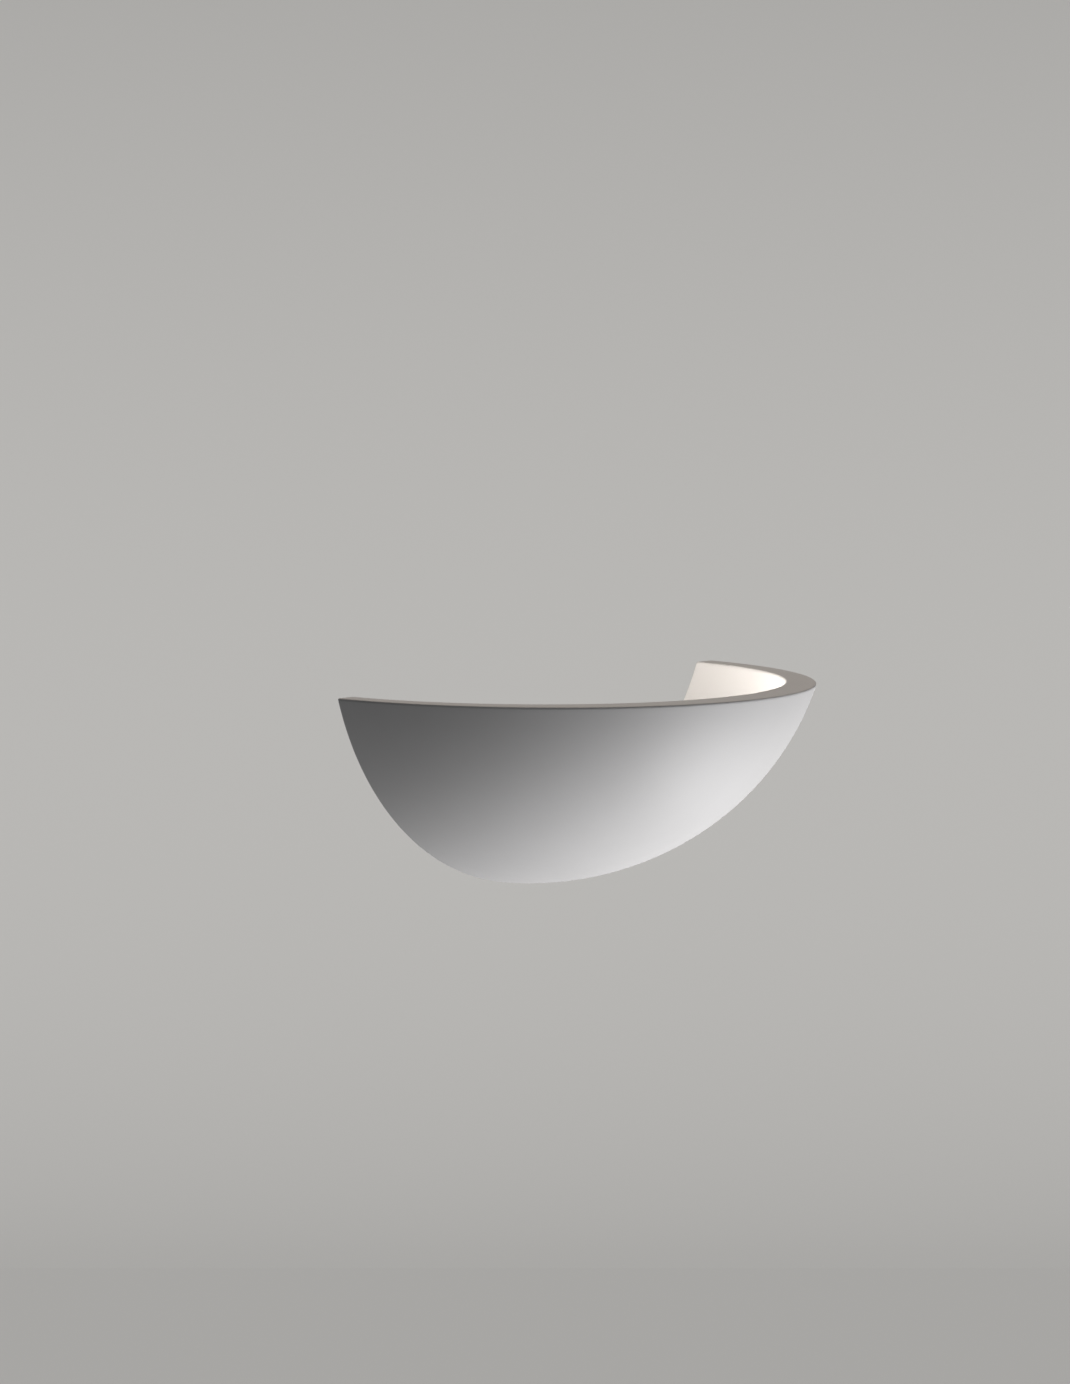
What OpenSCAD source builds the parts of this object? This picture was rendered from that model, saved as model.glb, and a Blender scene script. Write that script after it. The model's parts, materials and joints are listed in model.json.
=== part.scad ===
// Quarter-bowl uplighter for a wall. X runs along the wall, the wall is the plane y = 0, the bowl
// stands out towards -Y and +Z is up. The origin is the middle of the wall plate's two fixing slots.
// A thick cast bowl hangs by two keyhole plates on two headed studs of a steel wall plate. An arm
// carries a folded reflector with a double-ended linear lamp between two ceramic holders, and a
// hinged frame with the safety glass closes the reflector.

/* [Bowl] */
// Width of the bowl across its back edge, at the rim
bowl_w = 300; // [290:1:340]
// How far the front of the rim stands out from the wall
bowl_d = 170; // [162:1:200]
// Height of the bowl from its lowest point to the rim
bowl_h = 113; // [108:1:130]
// Height of the centre of the outer curve above the rim
belly_rise = 47; // [38:1:58]
// Shadow gap between the back edge of the bowl and the wall
shadow_gap = 3; // [2.6:0.1:4]
// Width of the eased edges of the rim
rim_ease = 1.2; // [0.6:0.1:2]

/* [Cavity] */
// Width of the flat rim at its two ends
rim_side = 12.5; // [11.5:0.5:14]
// Width of the flat rim at the front
rim_front = 21; // [16:0.5:24]
// Depth of the cavity below the rim
cavity_depth = 86; // [85:1:94]
// Height of the centre of the cavity's curve above the rim
cavity_rise = 47; // [42:1:56]

/* [Hanging] */
// Height of the rim above the middle of the wall plate
rim_above_mount = 52; // [50:0.5:56]
// How far the bowl is lifted before it comes off the studs
hang_drop = 8; // [7.8:0.1:9.5]
// Diameter of the neck of a hanging stud
neck_d = 5; // [4:0.1:5.5]
// Diameter of the head of a hanging stud
stud_head_d = 8; // [7:0.1:8.4]
// Thickness of the head of a hanging stud
stud_head_t = 2; // [1.5:0.1:2.5]
// Thickness of a keyhole plate
hanger_t = 1.5; // [1.2:0.1:2]
// Width of a keyhole plate
hanger_w = 19; // [17:0.5:20]
// Distance from the middle of a keyhole plate to each of its screws
hanger_reach = 20.5; // [19.5:0.5:22]
// Lean of a keyhole plate, which follows the slope of the bowl's back edge
hanger_lean = 51; // [46:1:56]
// Depth of the pocket that the stud head runs in, behind the keyhole plate
pocket_depth = 5; // [4:0.5:8]
// Diameter of the screws of the keyhole plates
hanger_screw_d = 3; // [2.5:0.1:3.5]
// Length of those screws
hanger_screw_l = 14; // [10:0.5:16]
// Diameter of the plugs cast into the bowl
plug_d = 6; // [5.5:0.1:7]
// Thickness of the plaster outside the pocket
pocket_wall = 4.3; // [4:0.1:6]
// Width of the plaster round a keyhole plate, where the wall is thickened behind it
boss_margin = 3.5; // [3:0.5:5]
// Diameter of the pads that keep the foot of the bowl off the wall
bumper_d = 10; // [8:0.5:12]
// Distance of each pad from the middle
bumper_x = 34; // [28:1:38]
// Height of the pads above the lowest point of the bowl
bumper_rise = 13; // [11:1:16]

/* [Wall plate] */
// Thickness of the steel of the wall plate
plate_t = 1.5; // [1.2:0.1:2]
// Height of the middle part of the wall plate
plate_h = 34; // [32:1:38]
// Width of the middle part of the wall plate
plate_w = 172; // [168:1:180]
// Width of the two arms that reach the studs
plate_arm_h = 20; // [16:1:24]
// Depth of the stiffening lips on the long edges
plate_lip = 5; // [4:0.5:7]
// Distance between the two fixing slots
slot_spacing = 150; // [140:1:154]
// Length of a fixing slot, end to end
slot_l = 12; // [8:0.5:16]
// Width of a fixing slot
slot_w = 4.5; // [4:0.1:5.5]
// Diameter of the hole in the cable bush
cable_d = 8; // [6:0.5:9]
// Distance of the cable bush left of the middle
cable_x = 20; // [20:0.5:21]

/* [Lamp] */
// Length of the double-ended lamp over its two ends
lamp_l = 78; // [74:0.5:80]
// Diameter of the quartz tube
tube_d = 10; // [8:0.5:11]
// Diameter of the ceramic end caps
cap_d = 7.4; // [6.5:0.1:8]
// Length of a ceramic end cap
cap_l = 11; // [9:0.5:13]
// Diameter of the recess in the end of a cap
recess_d = 4.6; // [4:0.1:5]
// Depth of the lamp below the rim
lamp_below_rim = 37; // [35:0.5:38.5]
// Distance of the lamp in front of the wall
lamp_forward = 48; // [46:0.5:52]
// How far the sprung contact gives when the lamp is pushed along to free it
lamp_travel = 3.5; // [2.5:0.1:4]

/* [Lamp holders] */
// Length of a ceramic holder
holder_l = 22; // [20:0.5:24]
// Width of a ceramic holder
holder_w = 16; // [15:0.5:18]
// How far a lamp end sits inside its holder
holder_hold = 3; // [2:0.1:3.2]
// Diameter of the socket in a holder
socket_d = 9; // [8.6:0.1:10]
// Diameter of the contact pins
contact_d = 3; // [2.5:0.1:3.4]
// Wire diameter of the contact spring
spring_wire = 0.5; // [0.4:0.05:0.6]
// Number of turns of the contact spring
spring_turns = 6; // [4:1:7]

/* [Reflector] */
// Focal length of the reflector's curve
focal = 12; // [11:0.5:14]
// Height of the reflector from the bottom of its curve to its flanges
reflector_h = 23; // [20:0.5:24]
// Length of the reflector
reflector_l = 104; // [100:1:110]
// Thickness of the reflector sheet
sheet_t = 0.8; // [0.6:0.1:1]
// Width of the reflector's front flange
front_flange = 5; // [4:0.5:7]
// Width of the strip that the lamp bracket is folded from
bracket_w = 18; // [16:0.5:19]
// Thickness of the lamp bracket
bracket_t = 1; // [0.8:0.1:1.2]
// Width of the arm that carries the lamp bracket
arm_w = 24; // [22:0.5:24]
// Thickness of the arm
arm_t = 1.5; // [1.2:0.1:2]

/* [Safety glass] */
// Length of the safety glass
glass_l = 105; // [103:0.5:108]
// Width of the safety glass
glass_w = 70; // [69:0.5:72]
// Thickness of the safety glass
glass_t = 3; // [2.5:0.1:4]
// Width of the frame's lip under the glass
glass_lip = 3; // [2.5:0.1:4]
// Diameter of the hinge pin
hinge_d = 2; // [1.6:0.1:2.4]
// Length of one hinge knuckle
knuckle_l = 10; // [8:0.5:12]
// How far the glass frame swings up
glass_swing = 90; // [60:5:90]

/* [Terminals] */
// Distance of the terminal block left of the middle
block_x = 43; // [42.5:0.5:44]
// Spacing of the two poles
pole_pitch = 13; // [12:0.5:13.5]
// Length of the block along its wire holes
block_l = 17; // [16:0.5:18]
// Distance of the earth stud right of the middle
earth_x = 30; // [26:0.5:40]

/* [Hidden] */
$fn = 64;
// Steps of the large curves of the bowl.
fine = 120;

// Clearances: between moving pieces, of a running shaft, of a seated piece and of a cut that runs out.
play = 0.3;
run_play = 0.05;
seat_play = 0.05;
over = 1;
// A length that is larger than the whole bowl, for half spaces.
far = 400;

// Outer curve of the bowl, an ellipsoid whose centre lies on the wall above the rim.
rim_z = rim_above_mount;
outer_c = bowl_h + belly_rise;
outer_z = rim_z + belly_rise;
outer_cut = 1 - pow(belly_rise / outer_c, 2);
outer_b = bowl_d / sqrt(outer_cut);
outer_a = bowl_w / 2 / sqrt(outer_cut - pow(shadow_gap / outer_b, 2));

// Curve of the cavity, an ellipsoid on the same upright axis, whose rim is widest in front.
cavity_c = cavity_depth + cavity_rise;
cavity_z = rim_z + cavity_rise;
cavity_cut = sqrt(1 - pow(cavity_rise / cavity_c, 2));
cavity_a = (bowl_w / 2 - rim_side) / cavity_cut;
cavity_b = (bowl_d - rim_front) / cavity_cut;
floor_z = rim_z - cavity_depth;

// Half width of the outside at a height z and a depth y.
function outer_x(z, y) = outer_a * sqrt(1 - pow((z - outer_z) / outer_c, 2) - pow(y / outer_b, 2));

// Keyhole: the stud sits at the top of the slot, and the head comes out through the entry hole.
slot_r = neck_d / 2 + play;
entry_r = stud_head_d / 2 + 0.5;
pocket_r = stud_head_d / 2 + 1.5;
pocket_back = shadow_gap + hanger_t;
pocket_end = pocket_back + pocket_depth;
hang_x = outer_x(-hang_drop - pocket_r, -pocket_end) - pocket_wall - pocket_r;
hanger_mid_z = -hang_drop / 2;
hanger_step = [hanger_reach * cos(hanger_lean), hanger_reach * sin(hanger_lean)];
hanger_holes = [
  [hang_x + hanger_step[0], hanger_mid_z + hanger_step[1]],
  [hang_x - hanger_step[0], hanger_mid_z - hanger_step[1]]
];
screw_head_r = hanger_screw_d;
bumper_z = rim_z - bowl_h + bumper_rise;
plug_l = hanger_screw_l;
boss_r = hanger_w / 2 + boss_margin;
boss_end = pocket_back + plug_l + boss_margin;

// Lamp, holders and their contacts, outwards from the middle of the lamp.
lamp_y = -lamp_forward;
lamp_z = rim_z - lamp_below_rim;
holder_front = lamp_l / 2 - holder_hold;
holder_back = holder_front + holder_l;
holder_r = holder_w / 2;
holder_foot = holder_r + 1;
socket_depth = holder_hold + lamp_travel + 0.5;
guide_l = 3;
chamber_front = holder_front + socket_depth + guide_l;
chamber_r = 3.5;
recess_depth = 3;
cup_t = 0.6;
contact_tip = lamp_l / 2 - recess_depth + play;
tip_r = 0.7;
tip_l = 0.8;
collar_t = 1.2;
collar_front = chamber_front + play;
washer_t = 0.8;
seat_t = 0.8;
seat_front = holder_back - washer_t - seat_t;
tail_r = 0.8;
barrel_r = 2;
barrel_l = 7;
barrel_x = holder_back + bracket_t + play + 1 + barrel_r;
lead_r = 1.3;
holder_rivet_r = 1.25;
holder_rivet_y = 5.5;
holder_rivet_z = -6;
holder_rivet_head = 1.9;
holder_rivet_cap = 0.7;

// Reflector: a parabola with the lamp in its focus.
vertex_z = lamp_z - focal;
flange_z = vertex_z + reflector_h;
half_open = sqrt(4 * focal * reflector_h);
back_flange = 3;
notch_w = holder_w + 1;

// Bracket and arm lie under the lowest line of the reflector.
bracket_top = vertex_z - sheet_t;
arm_top = bracket_top - bracket_t;
upright_h = holder_foot + holder_r;
bend_r = 1.5;
arm_margin = 1;
arm_reach = lamp_forward + bracket_w / 2 + arm_margin;
arm_screw_x = 6;
arm_screw_drop = 10.2;
arm_screw_z = arm_top - arm_screw_drop;
arm_toe = 6;
arm_foot = arm_screw_z - arm_toe;
arm_screw_r = 2;
cheek_tip = 3;
cheek_foot = 2;
rivet_r = 1.5;
rivet_head_r = 2.8;
rivet_x = 8;

// Hinge of the glass frame, rolled from the reflector's back flange.
hinge_r = hinge_d / 2;
bore_r = hinge_r + run_play;
roll_r = bore_r + sheet_t;
hinge_z = flange_z + bore_r;
frame_z = flange_z + play;
glass_z = frame_z + sheet_t;
frame_top = glass_z + glass_t + seat_play + sheet_t;
glass_y = lamp_y - 1.5;
frame_l = glass_l + 2 * (play + sheet_t);
frame_w = glass_w + 2 * (play + sheet_t);
hinge_y = glass_y + frame_w / 2 + roll_r + 3;
knuckle_x = reflector_l / 2 - 2 - knuckle_l;
hold_tab_x = 30;
hold_tab_l = 14;
hold_tab_w = 3;
lift_tab_w = 18;
lift_tab_l = 6;
corner_slit = 1.2;

// Terminal block.
block_z = 0.5;
block_base = 4;
pole_y = -plate_t - 7;
pole_r = 4.5;
pole_bore = 2.25;
pole_wire = 1.6;
tower_r = 2.9;
tower_top = 13;
block_screw_r = 1.5;
clamp_r = 1.3;
clamp_z = 4.5;

bush_r = cable_d / 2 + 2;
bush_flange = bush_r + 1.5;

// Earth stud, and what it clamps: a toothed washer, a saddle with turned edges and a nut.
earth_r = 2;
earth_bore_r = earth_r + 2 * seat_play;
earth_collar_r = 3;
earth_collar = 0.8;
earth_thread_l = 9;
washer_r = 4.2;
tooth_w = 0.8;
tooth_l = 1.1;
earth_washer_t = 0.8;
saddle_w = 9;
saddle_t = 0.8;
saddle_edge = 0.6;
nut_d = 8.1;
nut_h = 3.2;
earth_washer_y = plate_t + earth_collar;
saddle_y = earth_washer_y + earth_washer_t;
nut_y = saddle_y + saddle_edge + saddle_t;

// Lips of the wall plate.
lip_x = plate_w / 2 - 26;
lip_low_x = 30;
lip_gap = arm_w / 2 + 2;
lip_root = 4;

// ---------------------------------------------------------------- shared shapes

// Extrudes a drawing in (x, z) towards -Y, from the depth y.
module forward_from(y, t) {
  translate([0, -y, 0]) rotate([90, 0, 0]) linear_extrude(t) children();
}

// Extrudes a drawing in (y, z) along X, from x.
module across_from(x, w) {
  translate([x, 0, 0]) rotate([90, 0, 90]) linear_extrude(w) children();
}

// A cylinder that points towards -Y, from the depth y.
module rod_y(x, y, z, r, l) {
  translate([x, -y, z]) rotate([90, 0, 0]) cylinder(r = r, h = l);
}

// A cone that points towards -Y, from the depth y.
module cone_y(x, y, z, r1, r2, l) {
  translate([x, -y, z]) rotate([90, 0, 0]) cylinder(r1 = r1, r2 = r2, h = l);
}

// A cylinder along X, on the lamp's axis unless told otherwise.
module rod_x(x, r, l, y = lamp_y, z = lamp_z) {
  translate([x, y, z]) rotate([0, 90, 0]) cylinder(r = r, h = l);
}

// Flat shape with round ends, from point a to point b.
module capsule(a, b, r) {
  d = b - a;
  l = norm(d);
  translate(a) circle(r);
  translate(b) circle(r);
  translate(a) rotate(atan2(d[1], d[0])) translate([0, -r]) square([l, 2 * r]);
}

// Flat rectangle about the middle, with round corners.
module round_box(w, h, r) {
  square([w - 2 * r, h], center = true);
  square([w, h - 2 * r], center = true);
  for (i = [-1, 1], j = [-1, 1]) translate([i * (w / 2 - r), j * (h / 2 - r)]) circle(r);
}

// Section of a folded sheet: outer corner at the origin, one leg along +X, the other along +Y.
module fold(leg_x, leg_y, t, r) {
  intersection() {
    translate([r + t, r + t]) difference() {
      circle(r + t);
      circle(r);
    }
    square(r + t);
  }
  translate([r + t, 0]) square([leg_x - r - t, t]);
  translate([0, r + t]) square([t, leg_y - r - t]);
}

// The same piece on the right, and its mirror image on the left.
module both_sides() {
  children();
  mirror([1, 0, 0]) children();
}

// Cross recess in the head of a screw whose face lies at the depth y and looks towards -Y.
module cross_recess(x, y, z, r) {
  for (a = [0, 90]) {
    translate([x, -y, z]) rotate([0, a, 0]) cube([1.6 * r, 1.4, 0.5], center = true);
  }
}

// Tube along a list of points: each ring's first spoke is carried over from the ring before.
function unit(v) = v / norm(v);
function tangent(p, i) = unit(p[min(i + 1, len(p) - 1)] - p[max(i - 1, 0)]);
function spokes(p, i, s) =
  i == len(p) ? [] :
  let(t = tangent(p, i), n = unit(s - t * (s * t)))
  concat([n], spokes(p, i + 1, n));
module tube_along(p, r, sides, start) {
  s = spokes(p, 0, start);
  n = len(p);
  points = [
    for (i = [0 : n - 1], k = [0 : sides - 1])
      let(t = tangent(p, i), a = 360 * k / sides)
      p[i] + r * (cos(a) * s[i] + sin(a) * cross(t, s[i]))
  ];
  walls = [
    for (i = [0 : n - 2], k = [0 : sides - 1])
      let(a = i * sides + k, b = i * sides + (k + 1) % sides)
      each [[a, b + sides, b], [a, a + sides, b + sides]]
  ];
  caps = [
    [for (k = [0 : sides - 1]) k],
    [for (k = [sides - 1 : -1 : 0]) (n - 1) * sides + k]
  ];
  polyhedron(points = points, faces = concat(walls, caps));
}

// Smooth curve through route points, with a few steps between each two.
function curve_at(a, b, c, d, t) =
  0.5 * (2 * b + (c - a) * t + (2 * a - 5 * b + 4 * c - d) * t * t
  + (3 * b - a - 3 * c + d) * t * t * t);
function smooth(p, steps) = [
  for (i = [0 : len(p) - 2], k = [0 : steps - 1])
    curve_at(p[max(i - 1, 0)], p[i], p[i + 1], p[min(i + 2, len(p) - 1)], k / steps),
  p[len(p) - 1]
];

// Helix about the lamp's axis, eight points to a turn.
function helix(x0, x1, r, turns) = [
  for (k = [0 : 8 * turns])
    [x0 + (x1 - x0) * k / (8 * turns), lamp_y + r * cos(45 * k), lamp_z + r * sin(45 * k)]
];

// ---------------------------------------------------------------- bowl

// Turns a profile in equal sectors of 45 degrees, so that each stretch of the curve stays short.
module turned(start, sectors) {
  for (k = [0 : sectors - 1]) rotate_extrude(angle = 45, start = start + 45 * k, $fn = fine) children();
}

// The outside: a body of revolution, stretched sideways and forwards to the bowl's proportions.
module shell_outside() {
  sx = outer_a / outer_c;
  rim_x = outer_c * sqrt(outer_cut);
  scale([sx, outer_b / outer_c, 1]) turned(180, 4) difference() {
    translate([0, outer_z]) circle(outer_c, $fn = fine);
    translate([-far, -far]) square([far, 2 * far]);
    translate([0, rim_z]) square([far, far]);
    polygon([
      [rim_x - rim_ease / sx, rim_z + over / 2],
      [rim_x - rim_ease / sx, rim_z],
      [rim_x - (rim_ease / 3) / sx, rim_z - rim_ease / 3],
      [rim_x + (rim_ease / 3) / sx, rim_z - rim_ease],
      [rim_x + over + rim_ease, rim_z + over / 2]
    ]);
  }
}

// The cavity, with the eased inner edge of the rim.
module cavity() {
  sx = cavity_a / cavity_c;
  edge_x = cavity_c * cavity_cut;
  scale([sx, cavity_b / cavity_c, 1]) turned(0, 8) {
    intersection() {
      translate([0, cavity_z]) circle(cavity_c, $fn = 3 * fine);
      translate([0, floor_z - over]) square([far, cavity_depth + over]);
    }
    polygon([
      [0, rim_z - rim_ease],
      [edge_x - rim_ease / sx, rim_z - rim_ease],
      [edge_x + (rim_ease / 2) / sx, rim_z],
      [edge_x + (rim_ease / 2) / sx, rim_z + over],
      [0, rim_z + over]
    ]);
  }
}

// What the back of the bowl holds on one side: the seat of the keyhole plate, the pocket and plugs.
module hanger_seat() {
  forward_from(shadow_gap - over, hanger_t + over)
    capsule(hanger_holes[0], hanger_holes[1], hanger_w / 2 + seat_play);
  forward_from(shadow_gap, pocket_end - shadow_gap)
    capsule([hang_x, 0], [hang_x, -hang_drop], pocket_r);
  for (p = hanger_holes) rod_y(p[0], shadow_gap, p[1], plug_d / 2 + seat_play, hanger_t + plug_l + over);
}

// Thickening of the wall round one keyhole plate, which the cavity leaves standing.
module hanger_boss() {
  forward_from(-over, boss_end + over) capsule(hanger_holes[0], hanger_holes[1], boss_r);
}

module shell() {
  color([0.93, 0.93, 0.92]) difference() {
    intersection() {
      shell_outside();
      translate([-far, -shadow_gap - far, -far]) cube([2 * far, far, 2 * far]);
    }
    difference() {
      cavity();
      both_sides() hanger_boss();
    }
    both_sides() hanger_seat();
  }
}

module hanger_plate() {
  difference() {
    forward_from(shadow_gap, hanger_t) difference() {
      capsule(hanger_holes[0], hanger_holes[1], hanger_w / 2);
      capsule([hang_x, 0], [hang_x, -hang_drop], slot_r);
      translate([hang_x, -hang_drop]) circle(entry_r);
    }
    for (p = hanger_holes) {
      rod_y(p[0], shadow_gap - over, p[1], hanger_screw_d / 2 + 0.2, hanger_t + 2 * over);
      cone_y(p[0], shadow_gap - seat_play, p[1], screw_head_r + 0.2, hanger_screw_d / 2 + 0.2, hanger_t);
    }
  }
}

module hanger_plate_left() {
  color("silver") mirror([1, 0, 0]) hanger_plate();
}

module hanger_plate_right() {
  color("silver") hanger_plate();
}

// Barbed plugs, two to a plate, that the screws bite into.
module hanger_plugs() {
  rings = 4;
  step = plug_l / rings;
  r = plug_d / 2;
  color("lightgrey") both_sides() for (p = hanger_holes) {
    translate([p[0], -pocket_back, p[1]]) rotate([90, 0, 0]) rotate_extrude() difference() {
      union() {
        square([r - 0.5, plug_l]);
        for (i = [0 : rings - 1]) {
          polygon([[0, i * step], [r, i * step], [r - 0.5, (i + 1) * step], [0, (i + 1) * step]]);
        }
      }
      translate([-over, -over]) square([over + hanger_screw_d / 2 + seat_play, plug_l - over]);
    }
  }
}

module hanger_screws() {
  color("gainsboro") both_sides() for (p = hanger_holes) difference() {
    union() {
      cone_y(p[0], shadow_gap + 0.1, p[1], screw_head_r, hanger_screw_d / 2, hanger_t - 0.1);
      rod_y(p[0], pocket_back - over, p[1], hanger_screw_d / 2, plug_l - 2 * over);
    }
    translate([p[0], -shadow_gap, p[1]]) for (a = [0, 90]) {
      rotate([0, a, 0]) cube([3.4, 1.4, 0.6], center = true);
    }
  }
}

module wall_bumpers() {
  color("dimgray") both_sides() {
    rod_y(bumper_x, 0.4, bumper_z, bumper_d / 2, shadow_gap - 0.4);
    cone_y(bumper_x, 0, bumper_z, bumper_d / 2 - 0.4, bumper_d / 2, 0.4);
  }
}

// ---------------------------------------------------------------- wall plate

// Stiffening lips, turned forward along the edges: one above, and one on each side of the arm below.
module plate_edge(x, w, side) {
  across_from(x, w) translate([0, side * plate_h / 2]) mirror([1, 0]) mirror([0, max(side, 0)])
    fold(plate_lip, lip_root, plate_t, 1);
}

module wall_plate() {
  color("lightsteelblue") difference() {
    union() {
      forward_from(0, plate_t) difference() {
        union() {
          round_box(plate_w, plate_h, 5);
          capsule([-hang_x, 0], [hang_x, 0], plate_arm_h / 2);
        }
        translate([-lip_x, plate_h / 2 - lip_root + seat_play]) square([2 * lip_x, lip_root]);
        for (x = [-lip_low_x, lip_gap]) translate([x, -plate_h / 2 - seat_play])
          square([lip_low_x - lip_gap, lip_root]);
      }
      plate_edge(-lip_x, 2 * lip_x, 1);
      for (x = [-lip_low_x, lip_gap]) plate_edge(x, lip_low_x - lip_gap, -1);
    }
    for (i = [-1, 1]) forward_from(-over, plate_t + 2 * over)
      translate([i * slot_spacing / 2, 0])
        capsule([-(slot_l - slot_w) / 2, 0], [(slot_l - slot_w) / 2, 0], slot_w / 2);
    for (i = [-1, 1]) rod_y(i * hang_x, -over, 0, neck_d / 2 - 0.75 + seat_play, plate_t + 2 * over);
    for (i = [-1, 1])
      rod_y(i * arm_screw_x, -over, arm_screw_z, arm_screw_r + seat_play, plate_t + 2 * over);
    rod_y(-cable_x, -over, 0, bush_r + seat_play, plate_t + 2 * over);
    rod_y(-block_x, -over, block_z, block_screw_r + seat_play, plate_t + 2 * over);
  }
}

// Shouldered studs, riveted through the plate, with a rounded head that holds the keyhole plate.
module hanger_studs() {
  neck_end = pocket_back + play;
  color("gainsboro") both_sides() {
    rod_y(hang_x, 0, 0, neck_d / 2 - 0.75, plate_t);
    rod_y(hang_x, plate_t, 0, neck_d / 2, neck_end - plate_t);
    rod_y(hang_x, neck_end, 0, stud_head_d / 2, stud_head_t / 2);
    cone_y(hang_x, neck_end + stud_head_t / 2, 0, stud_head_d / 2, stud_head_d / 2 - 1, stud_head_t / 2);
  }
}

// Rubber bush in the cable hole, with its flange on the front of the plate only.
module cable_bush() {
  color([0.2, 0.2, 0.2]) translate([-cable_x, 0, 0]) rotate([90, 0, 0]) rotate_extrude() difference() {
    union() {
      square([bush_r, plate_t]);
      translate([0, plate_t]) square([bush_flange, 1.5]);
      polygon([[0, 3], [bush_r, 3], [bush_r - 1, 4.5], [0, 4.5]]);
    }
    translate([-over, -over]) square([over + cable_d / 2, 8]);
  }
}

// ---------------------------------------------------------------- terminals

// Ceramic block with two wire holes, four clamp towers and a fixing hole between the poles.
module terminal_block() {
  half = pole_pitch / 2;
  color("ivory") translate([-block_x, 0, block_z]) difference() {
    union() {
      forward_from(plate_t, block_base) round_box(pole_pitch + 2 * pole_r + 2, block_l, 1.5);
      for (i = [-1, 1]) {
        translate([i * half, pole_y, -block_l / 2]) cylinder(r = pole_r, h = block_l);
        translate([i * half - pole_r, pole_y, -block_l / 2]) cube([2 * pole_r, -pole_y - plate_t, block_l]);
        for (j = [-1, 1]) rod_y(i * half, -pole_y, j * clamp_z, tower_r, tower_top + plate_t + pole_y);
      }
    }
    for (i = [-1, 1]) {
      translate([i * half, pole_y, -block_l / 2 - over]) {
        cylinder(r = pole_bore + seat_play, h = block_l + 2 * over);
      }
      for (j = [-1, 1]) rod_y(i * half, -pole_y, j * clamp_z, 1.8, tower_top + over);
    }
    rod_y(0, 0, 0, block_screw_r + 0.2, block_base + plate_t + over);
    rod_y(0, plate_t + block_base - 0.6, 0, 3, 12);
  }
}

module terminal_tubes() {
  tube_l = block_l - 2;
  color("goldenrod") translate([-block_x, pole_y, block_z]) for (i = [-1, 1]) {
    translate([i * pole_pitch / 2, 0, 0]) difference() {
      cylinder(r = pole_bore, h = tube_l, center = true);
      cylinder(r = pole_wire, h = tube_l + 2 * over, center = true);
      for (j = [-1, 1]) rod_y(0, 0, j * clamp_z, clamp_r + seat_play, pole_r);
    }
  }
}

// Clamp screws: their slotted heads stand back inside the towers.
module terminal_screws() {
  top = plate_t + tower_top - 1.2;
  start = -pole_y + pole_wire - 0.6;
  color("silver") translate([-block_x, 0, block_z]) for (i = [-1, 1], j = [-1, 1]) {
    translate([i * pole_pitch / 2, 0, j * clamp_z]) difference() {
      rod_y(0, start, 0, clamp_r, top - start);
      translate([0, -top, 0]) cube([4, 1.4, 0.5], center = true);
    }
  }
}

module block_screw() {
  seat = plate_t + block_base - 0.6;
  color("silver") translate([-block_x, 0, block_z]) difference() {
    union() {
      rod_y(0, 0.1, 0, block_screw_r, seat);
      rod_y(0, seat, 0, 2.7, 1.8);
    }
    cross_recess(0, seat + 1.8, 0, 1.8);
  }
}

module earth_stud() {
  color("goldenrod") {
    rod_y(earth_x, plate_t, 0, earth_collar_r, earth_collar);
    rod_y(earth_x, earth_washer_y, 0, earth_r, earth_thread_l);
    cone_y(earth_x, earth_washer_y + earth_thread_l, 0, earth_r, earth_r - 0.6, 0.6);
  }
}

// Toothed lock washer.
module earth_washer() {
  color("silver") translate([earth_x, 0, 0]) forward_from(earth_washer_y, earth_washer_t) difference() {
    circle(washer_r);
    circle(earth_bore_r);
    for (k = [0 : 7]) rotate(45 * k) translate([washer_r - tooth_l, -tooth_w / 2])
      square([2 * tooth_l, tooth_w]);
  }
}

// Square clamp with two turned edges that keep the bare earth wire under it.
module earth_saddle() {
  edge_x = (saddle_w - saddle_t) / 2;
  color("silver") translate([earth_x, 0, 0]) difference() {
    union() {
      forward_from(saddle_y + saddle_edge, saddle_t) square(saddle_w, center = true);
      for (i = [-1, 1]) translate([i * edge_x, 0, 0])
        forward_from(saddle_y, saddle_edge) square([saddle_t, saddle_w], center = true);
    }
    rod_y(0, 0, 0, earth_bore_r, nut_y + over);
  }
}

module earth_nut() {
  color("goldenrod") translate([earth_x, -nut_y, 0]) rotate([90, 0, 0]) difference() {
    cylinder(d = nut_d, h = nut_h, $fn = 6);
    translate([0, 0, -over]) cylinder(r = earth_r + seat_play, h = nut_h + 2 * over);
  }
}

// ---------------------------------------------------------------- arm and bracket

// Folded arm: one leg on the wall plate, one forward under the lamp, a tapered cheek on each side.
module support_arm() {
  foot = arm_top - arm_foot;
  cheek = [
    [-plate_t - arm_t, arm_top - arm_t],
    [-plate_t - arm_reach, arm_top - arm_t],
    [-plate_t - arm_reach, arm_top - arm_t - cheek_tip],
    [-plate_t - arm_t, arm_foot + cheek_foot]
  ];
  color("lightsteelblue") difference() {
    union() {
      across_from(-arm_w / 2, arm_w) translate([-plate_t, arm_top]) rotate(180)
        fold(arm_reach, foot, arm_t, bend_r);
      for (x = [-arm_w / 2, arm_w / 2 - arm_t]) across_from(x, arm_t) polygon(cheek);
    }
    for (i = [-1, 1]) rod_y(i * arm_screw_x, 0, arm_screw_z, arm_screw_r + 0.2, 3 * arm_t);
    for (i = [-1, 1]) translate([i * rivet_x, lamp_y, arm_top - 2 * arm_t])
      cylinder(r = rivet_r + seat_play, h = 4 * arm_t);
  }
}

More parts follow.
